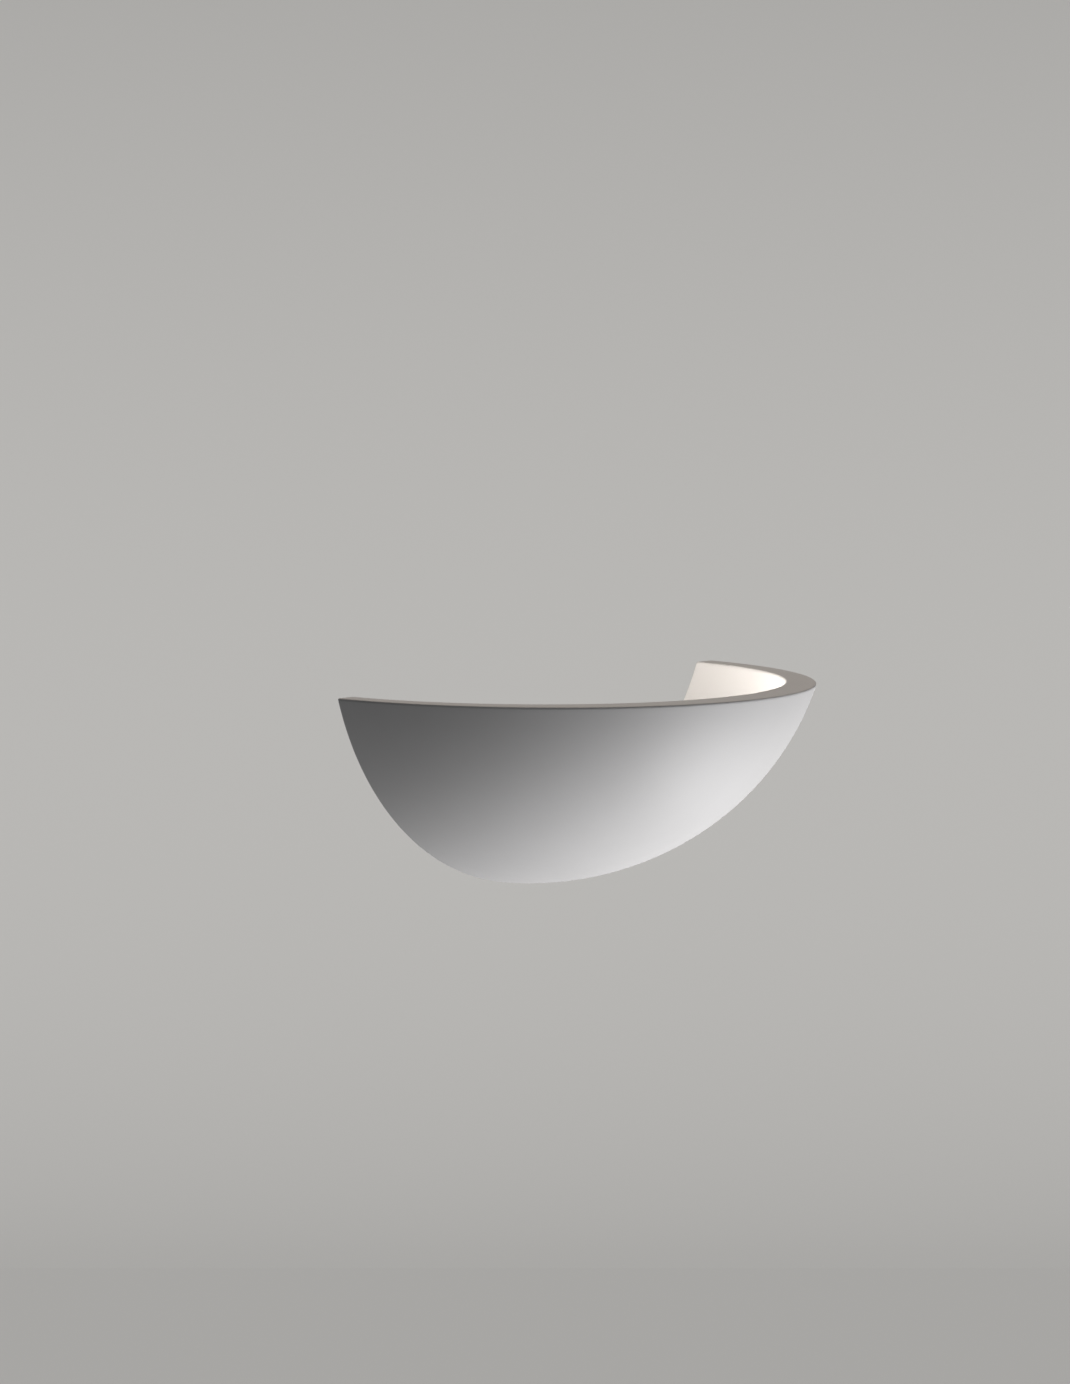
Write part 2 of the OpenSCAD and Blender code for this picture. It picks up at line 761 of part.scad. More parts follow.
module arm_screws() {
  head = plate_t + arm_t;
  color("gainsboro") for (i = [-1, 1]) difference() {
    union() {
      rod_y(i * arm_screw_x, 0.1, arm_screw_z, arm_screw_r, head);
      rod_y(i * arm_screw_x, head, arm_screw_z, 3.5, 1.4);
      cone_y(i * arm_screw_x, head + 1.4, arm_screw_z, 3.5, 2.4, 1);
    }
    cross_recess(i * arm_screw_x, head + 2.4, arm_screw_z, 2.2);
  }
}

// Folded strip under the reflector, with an upright at each end that carries a ceramic holder.
module lamp_bracket() {
  leg = lamp_z - arm_top + upright_h / 2;
  color("lightsteelblue") difference() {
    translate([0, lamp_y + bracket_w / 2, 0]) both_sides() forward_from(0, bracket_w)
      translate([holder_back + bracket_t, arm_top]) mirror([1, 0])
        fold(holder_back + bracket_t, leg, bracket_t, bend_r);
    both_sides() {
      rod_x(holder_back - over, 2.2, 4);
      for (i = [-1, 1]) {
        translate([0, i * holder_rivet_y, holder_rivet_z])
          rod_x(holder_back - over, holder_rivet_r + seat_play, 4);
        translate([holder_back - over, lamp_y + i * bracket_w / 2, arm_top + leg]) rotate([45, 0, 0])
          cube([4, 5, 5], center = true);
      }
      translate([rivet_x, lamp_y, arm_top - over]) cylinder(r = rivet_r + seat_play, h = 4);
    }
  }
}

// Rivets through reflector, bracket and arm.
module bracket_rivets() {
  seat = vertex_z + pow(rivet_head_r, 2) / (4 * focal) + 0.02;
  low = arm_top - arm_t;
  color("silver") both_sides() translate([rivet_x, lamp_y, 0]) {
    translate([0, 0, low - 0.8]) cylinder(r1 = 2, r2 = 2.6, h = 0.8);
    translate([0, 0, low]) cylinder(r = rivet_r, h = seat - low);
    translate([0, 0, seat]) cylinder(r = rivet_head_r, h = 0.5);
    translate([0, 0, seat + 0.5]) cylinder(r1 = rivet_head_r, r2 = 1.6, h = 0.6);
  }
}

// ---------------------------------------------------------------- reflector

// Points of the reflector's curve, moved outwards by t.
function parabola(t) = [
  for (k = [-16 : 16])
    let(u = half_open * k / 16, s = u / (2 * focal), n = sqrt(1 + s * s))
    [lamp_y + u + t * s / n, vertex_z + u * u / (4 * focal) - t / n]
];
function backwards(p) = [for (i = [len(p) - 1 : -1 : 0]) p[i]];

module reflector_section() {
  polygon(concat(parabola(0), backwards(parabola(sheet_t))));
  translate([lamp_y - half_open - front_flange, flange_z - sheet_t]) square([front_flange, sheet_t]);
  translate([lamp_y + half_open, flange_z - sheet_t]) square([back_flange, sheet_t]);
}

// Section of a knuckle: a strip from y0 that rolls once round the pin, over it or under it.
module knuckle_section(y0, up) {
  translate([0, hinge_z]) mirror([0, up]) difference() {
    union() {
      translate([hinge_y, 0]) circle(roll_r);
      translate([y0, -roll_r]) square([hinge_y - y0, sheet_t]);
    }
    translate([hinge_y, 0]) circle(bore_r);
  }
}

module reflector() {
  half = reflector_l / 2;
  color("gainsboro") difference() {
    union() {
      across_from(-half, reflector_l) reflector_section();
      both_sides() {
        across_from(half - sheet_t, sheet_t) difference() {
          polygon(parabola(sheet_t / 2));
          translate([lamp_y - notch_w / 2, lamp_z - holder_foot - 0.5]) square([notch_w, reflector_h]);
        }
        across_from(knuckle_x, knuckle_l) knuckle_section(lamp_y + half_open + 1, 0);
      }
    }
    both_sides() translate([rivet_x, lamp_y, vertex_z - 2]) cylinder(r = rivet_r + seat_play, h = 4);
  }
}

// ---------------------------------------------------------------- lamp holders

// Ceramic body with a socket for the lamp's end, a guide for the pin and a chamber behind it.
module holder() {
  color("white") difference() {
    across_from(holder_front, holder_l) {
      translate([lamp_y, lamp_z]) circle(holder_r);
      translate([lamp_y - holder_r, lamp_z - holder_foot]) square([holder_w, holder_foot]);
    }
    rod_x(holder_front - over, socket_d / 2, socket_depth + over);
    translate([holder_front, lamp_y, lamp_z]) rotate([0, 90, 0]) {
      translate([0, 0, -0.01]) cylinder(r1 = socket_d / 2 + 1, r2 = socket_d / 2, h = 1);
    }
    rod_x(holder_front, contact_d / 2 + 0.08, holder_l / 2);
    rod_x(chamber_front, chamber_r, holder_l);
    for (i = [-1, 1]) {
      translate([holder_front - over, lamp_y + i * holder_rivet_y, lamp_z + holder_rivet_z])
        rotate([0, 90, 0]) cylinder(r = holder_rivet_r + seat_play, h = holder_l + 2 * over);
    }
  }
}

module holder_left() {
  mirror([1, 0, 0]) holder();
}

module holder_right() {
  holder();
}

module holder_rivets() {
  color("silver") both_sides() for (i = [-1, 1]) {
    y = lamp_y + i * holder_rivet_y;
    z = lamp_z + holder_rivet_z;
    rod_x(holder_front - holder_rivet_cap, holder_rivet_head, holder_rivet_cap, y, z);
    rod_x(holder_front, holder_rivet_r, holder_l + bracket_t, y, z);
    rod_x(holder_back + bracket_t, holder_rivet_head, holder_rivet_cap, y, z);
  }
}

module insulating_washers() {
  color("burlywood") both_sides() difference() {
    rod_x(holder_back - washer_t, chamber_r - 0.1, washer_t);
    rod_x(holder_back - washer_t - over, tail_r + 0.1, 4);
  }
}

// Tapered tip of a contact pin.
module pin_tip() {
  translate([contact_tip, lamp_y, lamp_z]) rotate([0, 90, 0])
    cylinder(r1 = tip_r, r2 = contact_d / 2, h = tip_l);
}

// Tail of a contact: a rod that ends in a crimp barrel, open towards the wall, for the lead.
module contact_tail() {
  difference() {
    union() {
      rod_x(seat_front, chamber_r - 0.2, seat_t);
      rod_x(seat_front, tail_r, barrel_x - seat_front);
      rod_y(barrel_x, lamp_forward - barrel_l / 2, lamp_z, barrel_r, barrel_l);
    }
    rod_y(barrel_x, lamp_forward - barrel_l / 2 - over, lamp_z, lead_r + play, over + 2.5);
  }
}

module contact_fixed() {
  color("peru") mirror([1, 0, 0]) {
    rod_x(contact_tip + tip_l, contact_d / 2, chamber_front - contact_tip - tip_l);
    pin_tip();
    rod_x(chamber_front, chamber_r - 0.2, collar_t);
    rod_x(chamber_front, 2, seat_front - chamber_front);
    contact_tail();
  }
}

module contact_seat() {
  color("peru") contact_tail();
}

// Sprung contact pin, free to slide in the holder's guide.
module contact_plunger() {
  color("peru") {
    pin_tip();
    rod_x(contact_tip + tip_l, contact_d / 2, collar_front - contact_tip - tip_l);
    rod_x(collar_front, chamber_r - play, collar_t);
    rod_x(collar_front + collar_t, 1.2, 2.5);
  }
}

spring_mean = 2.5;
spring_start = collar_front + collar_t + spring_wire / 2 + 0.1;
spring_end = seat_front - spring_wire / 2 - 0.1;

module contact_spring() {
  echo(contact_spring_gap = (spring_end - spring_start) / spring_turns - spring_wire);
  color("lightgrey")
    tube_along(helix(spring_start, spring_end, spring_mean, spring_turns), spring_wire / 2, 6, [0, 1, 0]);
}

// ---------------------------------------------------------------- lamp

bulb_half = 20;
bulb_wall = 1;
pinch_end = lamp_l / 2 - cap_l + 3;
pinch_w = 6;
pinch_t = 2;
foil_w = 2.6;
foil_t = 0.3;

// A bar with round ends along the lamp's axis.
module round_bar(half, r) {
  translate([0, lamp_y, lamp_z]) rotate([0, 90, 0]) rotate_extrude() intersection() {
    capsule([0, -half], [0, half], r);
    translate([0, -half - r]) square([r, 2 * (half + r)]);
  }
}

// Quartz tube with round shoulders, flat pinched ends and the tip where it was sealed.
module lamp_tube() {
  r = tube_d / 2;
  color([0.85, 0.9, 0.95, 0.4]) difference() {
    union() {
      round_bar(bulb_half, r);
      translate([-pinch_end, lamp_y - pinch_w / 2, lamp_z - pinch_t / 2])
        cube([2 * pinch_end, pinch_w, pinch_t]);
      translate([0, lamp_y, lamp_z]) cylinder(r1 = 1.4, r2 = 0.6, h = r + 1.2);
    }
    round_bar(bulb_half, r - bulb_wall);
    translate([-pinch_end - over, lamp_y - foil_w / 2, lamp_z - foil_t / 2])
      cube([2 * (pinch_end + over), foil_w, foil_t]);
  }
}

// Ceramic end caps: a slot for the pinched tube on the inner side, a recess for the contact outside.
module lamp_caps() {
  inner = lamp_l / 2 - cap_l;
  color("white") both_sides() difference() {
    rod_x(inner, cap_d / 2, cap_l);
    rod_x(lamp_l / 2 - recess_depth - cup_t, recess_d / 2, 2 * recess_depth);
    translate([inner - over, lamp_y - pinch_w / 2 - seat_play, lamp_z - pinch_t / 2 - seat_play])
      cube([pinch_end - inner + over + seat_play, pinch_w + 2 * seat_play, pinch_t + 2 * seat_play]);
    rod_x(pinch_end - over, 0.6, cap_l);
  }
}

// Nickel cups in the recesses, each with a wire that runs back to its foil.
module lamp_contacts() {
  color("silver") both_sides() {
    rod_x(lamp_l / 2 - recess_depth - cup_t, recess_d / 2 - seat_play, cup_t);
    rod_x(pinch_end + 0.2, 0.5, lamp_l / 2 - recess_depth - cup_t - pinch_end - 0.2);
  }
}

module lamp_foils() {
  foil_start = bulb_half + tube_d / 2 - bulb_wall;
  slack = 0.03;
  color("slategray") both_sides()
    translate([foil_start, lamp_y - foil_w / 2 + slack, lamp_z - foil_t / 2 + slack])
      cube([pinch_end - foil_start, foil_w - 2 * slack, foil_t - 2 * slack]);
}

filament_half = 15;
filament_r = 0.9;
filament_wire = 0.4;
filament_turns = 24;

// Coiled filament with a straight tail to each foil.
module lamp_filament() {
  tail = bulb_half + tube_d / 2 - bulb_wall - 0.2;
  coil = helix(-filament_half, filament_half, filament_r, filament_turns);
  route = concat(
    [[-tail, lamp_y, lamp_z], [-filament_half - 1.5, lamp_y, lamp_z]],
    coil,
    [[filament_half + 1.5, lamp_y, lamp_z], [tail, lamp_y, lamp_z]]
  );
  echo(filament_gap = 2 * filament_half / filament_turns - filament_wire);
  color("orange") tube_along(route, filament_wire / 2, 6, [0, 0, 1]);
}

// ---------------------------------------------------------------- leads

lead_end = [barrel_x, lamp_y + barrel_l / 2 - 2, lamp_z];
lead_start_z = block_z + block_l / 2 - 2;
left_pole = [-block_x - pole_pitch / 2, pole_y, lead_start_z];
right_pole = [-block_x + pole_pitch / 2, pole_y, lead_start_z];
lead_x = lead_end[0];
lead_y = pole_y - 4.5;
lead_z = lamp_z + 3;
left_route = [
  left_pole, left_pole + [0, 0, 4], left_pole + [-2, -2, 8],
  [-lead_x - 0.5, lead_y - 7, lamp_z + 1], [-lead_x, lamp_y + 16, lamp_z],
  [-lead_x, lamp_y + 10, lamp_z], [-lead_x, lead_end[1], lamp_z]
];
right_route = [
  right_pole, right_pole + [0, 0, 4], right_pole + [3, -2, 9], [-20, lead_y, lead_z],
  [10, lead_y, lead_z], [40, lead_y, lead_z], [lead_x - 4, lead_y - 5, lead_z - 1],
  [lead_x, lamp_y + 18, lamp_z], [lead_x, lamp_y + 10, lamp_z], lead_end
];

module lead_left() {
  color("white") tube_along(smooth(left_route, 4), lead_r, 8, [1, 0, 0]);
}

module lead_right() {
  color("white") tube_along(smooth(right_route, 4), lead_r, 8, [0, 1, 0]);
}

// ---------------------------------------------------------------- safety glass

module hinge_pin() {
  color("silver") rod_x(-reflector_l / 2 + 1, hinge_r, reflector_l - 2, hinge_y, hinge_z);
}

// Folded frame: four walls, a lip under the glass, tabs over it, knuckles behind, a tab to lift it by.
module glass_frame() {
  inner_l = frame_l - 2 * sheet_t;
  inner_w = frame_w - 2 * sheet_t;
  wall_h = frame_top - frame_z;
  slit = 2 * corner_slit;
  color("gainsboro") {
    translate([0, glass_y, frame_z]) {
      difference() {
        translate([0, 0, wall_h / 2]) cube([frame_l, frame_w, wall_h], center = true);
        translate([0, 0, wall_h / 2 + sheet_t]) cube([inner_l, inner_w, wall_h], center = true);
        cube([inner_l - 2 * glass_lip, inner_w - 2 * glass_lip, 4], center = true);
        for (i = [-1, 1], j = [-1, 1]) translate([i * frame_l / 2, j * frame_w / 2, wall_h / 2])
          cube([slit, slit, wall_h + 2 * over], center = true);
      }
      for (i = [-1, 1], j = [-1, 1]) translate([
        i * hold_tab_x - hold_tab_l / 2,
        j > 0 ? inner_w / 2 - hold_tab_w : -inner_w / 2,
        wall_h - sheet_t
      ]) cube([hold_tab_l, hold_tab_w, sheet_t]);
      translate([-lift_tab_w / 2, -frame_w / 2 - lift_tab_l, wall_h - sheet_t])
        cube([lift_tab_w, lift_tab_l + sheet_t / 2, sheet_t]);
    }
    both_sides() across_from(knuckle_x - play - knuckle_l, knuckle_l)
      knuckle_section(glass_y + frame_w / 2 - sheet_t / 2, 1);
  }
}

module safety_glass() {
  color([0.8, 0.9, 0.9, 0.4]) translate([0, glass_y, glass_z]) difference() {
    linear_extrude(glass_t) round_box(glass_l, glass_w, 2);
  }
}

shell();
hanger_plate_left();
hanger_plate_right();
hanger_plugs();
hanger_screws();
wall_bumpers();
wall_plate();
hanger_studs();
cable_bush();
terminal_block();
terminal_tubes();
terminal_screws();
block_screw();
earth_stud();
earth_washer();
earth_saddle();
earth_nut();
support_arm();
arm_screws();
lamp_bracket();
bracket_rivets();
reflector();
holder_left();
holder_right();
holder_rivets();
insulating_washers();
contact_fixed();
contact_seat();
contact_spring();
contact_plunger();
lamp_tube();
lamp_caps();
lamp_contacts();
lamp_foils();
lamp_filament();
lead_left();
lead_right();
hinge_pin();
glass_frame();
safety_glass();
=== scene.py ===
# %% [markdown]
# # A plaster quarter-bowl that throws its light up the wall
# This lesson dresses a wall light whose solid parts are already made. They are loaded as a fixed
# frame: nothing in it is moved. We give every part a finish, and build again, with softer edges,
# the one part that everybody sees, which is the cast bowl.

import json
import math

import bmesh
import bpy
import numpy as np
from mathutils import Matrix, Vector


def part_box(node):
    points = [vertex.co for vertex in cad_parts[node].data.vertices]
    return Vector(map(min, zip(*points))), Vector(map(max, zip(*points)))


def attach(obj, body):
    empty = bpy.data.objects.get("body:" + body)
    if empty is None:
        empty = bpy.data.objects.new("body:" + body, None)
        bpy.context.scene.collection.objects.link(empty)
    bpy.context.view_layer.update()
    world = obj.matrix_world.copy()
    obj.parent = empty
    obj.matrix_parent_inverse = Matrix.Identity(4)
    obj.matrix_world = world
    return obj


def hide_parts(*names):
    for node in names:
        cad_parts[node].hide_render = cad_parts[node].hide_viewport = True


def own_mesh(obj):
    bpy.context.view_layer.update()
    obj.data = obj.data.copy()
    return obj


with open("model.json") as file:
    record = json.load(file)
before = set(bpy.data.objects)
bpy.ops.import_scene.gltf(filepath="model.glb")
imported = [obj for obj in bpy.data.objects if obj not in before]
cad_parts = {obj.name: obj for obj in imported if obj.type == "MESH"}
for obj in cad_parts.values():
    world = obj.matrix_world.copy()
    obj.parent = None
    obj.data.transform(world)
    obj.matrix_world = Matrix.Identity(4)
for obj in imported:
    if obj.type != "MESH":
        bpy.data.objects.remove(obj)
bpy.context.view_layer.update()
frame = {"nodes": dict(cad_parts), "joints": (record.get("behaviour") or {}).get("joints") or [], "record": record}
nodes = frame["nodes"]

# %% [markdown]
# ## The camera
# The photograph was taken from far away, from the left of the bowl and a little above it. A long
# lens keeps the rim almost flat. The camera is placed by its direction and its distance, so its
# turn and its height stay easy to read.

# %% Camera at the angle of the photograph
TURN, HEIGHT, DISTANCE = math.radians(-46.41), math.radians(5.66), 4.0
AIM = Vector((0.0, 0.0, 0.052))
IMAGE_W, IMAGE_H, FOCAL_PX = 1070, 1384, 7220.95
AIM_PX = (525.05, 678.28)

toward = Vector((
    math.sin(TURN) * math.cos(HEIGHT),
    -math.cos(TURN) * math.cos(HEIGHT),
    math.sin(HEIGHT),
))
right = Vector((math.cos(TURN), math.sin(TURN), 0.0))
up = toward.cross(right)
shift_right = (AIM_PX[0] - IMAGE_W / 2) / FOCAL_PX * DISTANCE
shift_up = -(AIM_PX[1] - IMAGE_H / 2) / FOCAL_PX * DISTANCE

camera_data = bpy.data.cameras.new("camera")
camera_data.sensor_width = 36.0
camera_data.lens = 36.0 * FOCAL_PX / IMAGE_H
camera = bpy.data.objects.new("camera", camera_data)
camera.location = AIM + toward * DISTANCE - right * shift_right - up * shift_up
camera.rotation_euler = (-toward).to_track_quat("-Z", "Y").to_euler()
bpy.context.collection.objects.link(camera)
bpy.context.scene.camera = camera
print("camera at", [round(v, 3) for v in camera.location], "lens", round(camera_data.lens, 1))

# %% [markdown]
# ## The room
# A real light like this hangs on a wall. Here there is no wall, so that the back can be seen too:
# only a wide pale floor, well below the bowl, and an even sky. A pale floor throws a lot of light
# back up, and the bowl's dark side would lose its depth. So soft light doesn't bounce off it here.

# %% Floor and sky
FLOOR_Z = -0.75


def material(name):
    """An empty material: its node tree and the shader that every finish is built on."""
    made = bpy.data.materials.new(name)
    made.use_nodes = True
    tree = made.node_tree
    return made, tree, tree.nodes["Principled BSDF"]


def put(tree, kind, **settings):
    """Adds a node, and sets its inputs or its own properties by name."""
    node = tree.nodes.new(kind)
    for key, value in settings.items():
        if key in node.inputs:
            node.inputs[key].default_value = value
        else:
            setattr(node, key, value)
    return node


floor_finish, tree, shader = material("pale_floor")
shader.inputs["Base Color"].default_value = (0.60, 0.595, 0.58, 1.0)
shader.inputs["Roughness"].default_value = 0.9


def sheet_object(name, points, faces, surface):
    """Makes an object from points and faces, with one material."""
    mesh = bpy.data.meshes.new(name)
    mesh.from_pydata(points, [], faces)
    mesh.materials.append(surface)
    made = bpy.data.objects.new(name, mesh)
    bpy.context.collection.objects.link(made)
    return made


FLOOR_HALF = 30.0
signs = ((-1, -1), (1, -1), (1, 1), (-1, 1))
corners = [(FLOOR_HALF * x, FLOOR_HALF * y, FLOOR_Z) for x, y in signs]
floor = sheet_object("floor", corners, [(0, 1, 2, 3)], floor_finish)

# The paper behind the object lies on the floor, then curves up. It stands only on the far side.
# It starts a hair below the floor (TUCK), so that no edge of it casts a line of shadow.
SWEEP_START, SWEEP_RADIUS, SWEEP_TOP, SWEEP_HALF, TUCK = 2.6, 1.7, 3.2, 6.0, 0.0003
away = Vector((-toward.x, -toward.y, 0.0)).normalized()
profile = [(SWEEP_START + SWEEP_RADIUS * math.sin(a), SWEEP_RADIUS * (1 - math.cos(a)))
           for a in [math.radians(3 * k) for k in range(31)]]
profile.append((SWEEP_START + SWEEP_RADIUS, SWEEP_TOP))
points = [tuple(away * reach_out + right * side + Vector((0, 0, FLOOR_Z + rise - TUCK)))
          for side in (-SWEEP_HALF, SWEEP_HALF) for reach_out, rise in profile]
count = len(profile)
strips = [(k, k + 1, count + k + 1, count + k) for k in range(count - 1)]
sweep = sheet_object("sweep", points, strips, floor_finish)
for face in sweep.data.polygons:
    face.use_smooth = True
for sheet in (floor, sweep):
    sheet.visible_diffuse = False

# The sky gives little soft light, but glass and metal mirror a bright one, as in a pale room.
world = bpy.data.worlds.new("sky")
world.use_nodes = True
sky = world.node_tree
bright = sky.nodes["Background"]
bright.inputs["Color"].default_value = (0.97, 0.97, 0.96, 1.0)
bright.inputs["Strength"].default_value = 0.42
dim = put(sky, "ShaderNodeBackground", Color=(0.95, 0.97, 1.0, 1.0), Strength=0.03)
path = put(sky, "ShaderNodeLightPath")
choose = put(sky, "ShaderNodeMixShader")
sky.links.new(path.outputs["Is Diffuse Ray"], choose.inputs[0])
sky.links.new(bright.outputs[0], choose.inputs[1])
sky.links.new(dim.outputs[0], choose.inputs[2])
sky.links.new(choose.outputs[0], sky.nodes["World Output"].inputs["Surface"])
bpy.context.scene.world = world
print("floor at", FLOOR_Z)

# %% [markdown]
# ## The studio lights
# The bowl is dark at the top left and bright at the bottom right, so its main light comes from
# low on the right. A weak one in front keeps the middle from going flat, a warm one high up finds
# the flat rim, and one behind shows the back. The paper has a light of its own: Blender can link a
# light to a collection, and then it lights only what is in it.

# %% Soft boxes
NEUTRAL = (1.0, 0.99, 1.0)


def soft_box(name, place, aim, size, watts, colour):
    """A flat light at a place, turned towards a point, that the camera doesn't see."""
    data = bpy.data.lights.new(name, "AREA")
    data.shape = "RECTANGLE"
    data.size, data.size_y = size
    data.energy = watts
    data.color = colour
    lamp = bpy.data.objects.new(name, data)
    lamp.location = place
    lamp.rotation_euler = (Vector(aim) - Vector(place)).to_track_quat("-Z", "Y").to_euler()
    lamp.visible_camera = False
    bpy.context.collection.objects.link(lamp)
    return lamp


# Each light: name, place, the point that it faces, size in metres, watts, colour.
centre = Vector((0.0, -0.08, 0.0))
key_side = (right * 0.66 - toward * 0.14 - up * 0.74).normalized()
soft_box("key", centre + key_side * 0.86, centre, (0.55, 0.40), 6.6, NEUTRAL)
front_side = (right * 0.30 + toward * 0.75 - up * 0.58).normalized()
soft_box("front", centre + front_side * 1.2, centre, (0.7, 0.5), 1.3, NEUTRAL)
under = centre - right * 0.15 + Vector((0, 0, -0.66))
soft_box("below", under, centre, (0.9, 0.9), 0.75, NEUTRAL)
soft_box("overhead", (0.5, 0.3, 2.2), (0.0, 0.0, 0.0), (1.2, 1.2), 16.0, (1.0, 0.89, 0.80))
behind = (0.0, 1.7, -0.1)
back_fill = soft_box("back_fill", behind, (0.0, 0.0, -0.02), (0.9, 0.7), 5.0, NEUTRAL)
back_fill.visible_glossy = False

paper = bpy.data.collections.new("paper")
paper.objects.link(floor)
paper.objects.link(sweep)
wash_data = bpy.data.lights.new("paper_wash", "SUN")
wash_data.energy = 2.4
wash_data.angle = math.radians(50)
wash_data.color = (1.0, 0.99, 0.98)
wash = bpy.data.objects.new("paper_wash", wash_data)
wash.rotation_euler = (away * 0.62 - Vector((0, 0, 0.78))).to_track_quat("-Z", "Y").to_euler()
wash.light_linking.receiver_collection = paper
bpy.context.collection.objects.link(wash)

# %% [markdown]
# ## Shared effects
# Real surfaces are never one even colour. Three effects come back in most finishes, so each is a
# node group: a slow drift in tone, a fine grain that makes small bumps, and fine parallel lines
# from rolling or turning. A group only puts out values, and each finish uses them in its own way.

# %% Node groups
def group(name, inputs, outputs):
    """Starts a node group with named value inputs and outputs."""
    made = bpy.data.node_groups.new(name, "ShaderNodeTree")
    kind = "NodeSocketFloat"
    for label, value in inputs.items():
        socket = made.interface.new_socket(name=label, in_out="INPUT", socket_type=kind)
        socket.default_value = value
    for label in outputs:
        made.interface.new_socket(name=label, in_out="OUTPUT", socket_type=kind)
    return made, made.nodes.new("NodeGroupInput"), made.nodes.new("NodeGroupOutput")


def join(tree, *pairs):
    """Links pairs of sockets."""
    for start, end in pairs:
        tree.links.new(start, end)


drift, enter, leave = group("slow_drift", {"Scale": 12.0, "Contrast": 0.5}, ["Tone"])
place = put(drift, "ShaderNodeTexCoord")
cloud = put(drift, "ShaderNodeTexNoise", Detail=4.0, Roughness=0.55)
spread = put(drift, "ShaderNodeMath", operation="SUBTRACT")
spread.inputs[1].default_value = 0.5
strength = put(drift, "ShaderNodeMath", operation="MULTIPLY")
back = put(drift, "ShaderNodeMath", operation="ADD", use_clamp=True)
back.inputs[1].default_value = 0.5
join(
    drift,
    (place.outputs["Object"], cloud.inputs["Vector"]),
    (enter.outputs["Scale"], cloud.inputs["Scale"]),
    (cloud.outputs["Fac"], spread.inputs[0]),
    (spread.outputs[0], strength.inputs[0]),
    (enter.outputs["Contrast"], strength.inputs[1]),
    (strength.outputs[0], back.inputs[0]),
    (back.outputs[0], leave.inputs["Tone"]),
)

grain, enter, leave = group(
    "fine_grain", {"Scale": 900.0, "Coarse Scale": 160.0, "Coarse Share": 0.4}, ["Height"]
)
place = put(grain, "ShaderNodeTexCoord")
fine = put(grain, "ShaderNodeTexNoise", Detail=3.0, Roughness=0.6)
coarse = put(grain, "ShaderNodeTexNoise", Detail=3.0, Roughness=0.5)
blend = put(grain, "ShaderNodeMix", data_type="FLOAT")
join(
    grain,
    (place.outputs["Object"], fine.inputs["Vector"]),
    (place.outputs["Object"], coarse.inputs["Vector"]),
    (enter.outputs["Scale"], fine.inputs["Scale"]),
    (enter.outputs["Coarse Scale"], coarse.inputs["Scale"]),
    (enter.outputs["Coarse Share"], blend.inputs["Factor"]),
    (fine.outputs["Fac"], blend.inputs["A"]),
    (coarse.outputs["Fac"], blend.inputs["B"]),
    (blend.outputs["Result"], leave.inputs["Height"]),
)

lines, enter, leave = group(
    "drawn_lines", {"X Scale": 20.0, "Y Scale": 900.0, "Z Scale": 900.0}, ["Height"]
)
place = put(lines, "ShaderNodeTexCoord")
stretch = put(lines, "ShaderNodeVectorMath", operation="MULTIPLY")
scales = put(lines, "ShaderNodeCombineXYZ")
streaks = put(lines, "ShaderNodeTexNoise", Scale=1.0, Detail=2.0)
join(
    lines,
    (place.outputs["Object"], stretch.inputs[0]),
    (enter.outputs["X Scale"], scales.inputs["X"]),
    (enter.outputs["Y Scale"], scales.inputs["Y"]),
    (enter.outputs["Z Scale"], scales.inputs["Z"]),
    (scales.outputs[0], stretch.inputs[1]),
    (stretch.outputs[0], streaks.inputs["Vector"]),
    (streaks.outputs["Fac"], leave.inputs["Height"]),
)
print("groups:", [g.name for g in bpy.data.node_groups])

# %% [markdown]
# ## A recipe for a finish
# Most finishes are two close tones mixed by the slow drift, a roughness that drifts with them, and
# a small bump. One recipe with plain numbers keeps them alike in build and different in look.

# %% The recipe
def place_group(tree, which, **values):
    """Puts one of the shared groups in a material, with its own values."""
    node = put(tree, "ShaderNodeGroup", node_tree=which)
    for label, value in values.items():
        node.inputs[label.replace("_", " ")].default_value = value
    return node.outputs[0]


def finish(name, light, dark, rough, drift_scale, contrast, bump, bump_mm, height, metallic=0.0):
    """Two tones, a roughness range and a bump, all from the shared groups."""
    made, tree, shader = material(name)
    tone = place_group(tree, drift, Scale=drift_scale, Contrast=contrast)
    colours = put(tree, "ShaderNodeMix", data_type="RGBA")
    colours.inputs["A"].default_value = (*dark, 1.0)
    colours.inputs["B"].default_value = (*light, 1.0)
    range_of = put(tree, "ShaderNodeMapRange")
    range_of.inputs["To Min"].default_value, range_of.inputs["To Max"].default_value = rough
    relief = put(tree, "ShaderNodeBump", Strength=bump, Distance=bump_mm / 1000)
    join(
        tree,
        (tone, colours.inputs["Factor"]),
        (colours.outputs["Result"], shader.inputs["Base Color"]),
        (tone, range_of.inputs["Value"]),
        (range_of.outputs["Result"], shader.inputs["Roughness"]),
        (height(tree), relief.inputs["Height"]),
        (relief.outputs["Normal"], shader.inputs["Normal"]),
    )
    shader.inputs["Metallic"].default_value = metallic
    return made


def grain_of(fine_scale, coarse_scale, share):
    """Bumps from the fine grain, with its two sizes and the share of the coarse one."""
    sizes = {"Scale": fine_scale, "Coarse_Scale": coarse_scale, "Coarse_Share": share}
    return lambda tree: place_group(tree, grain, **sizes)


def lines_of(x, y, z):
    """Bumps from the drawn lines. A low number along an axis makes the lines run that way."""
    return lambda tree: place_group(tree, lines, X_Scale=x, Y_Scale=y, Z_Scale=z)


print("recipe ready")

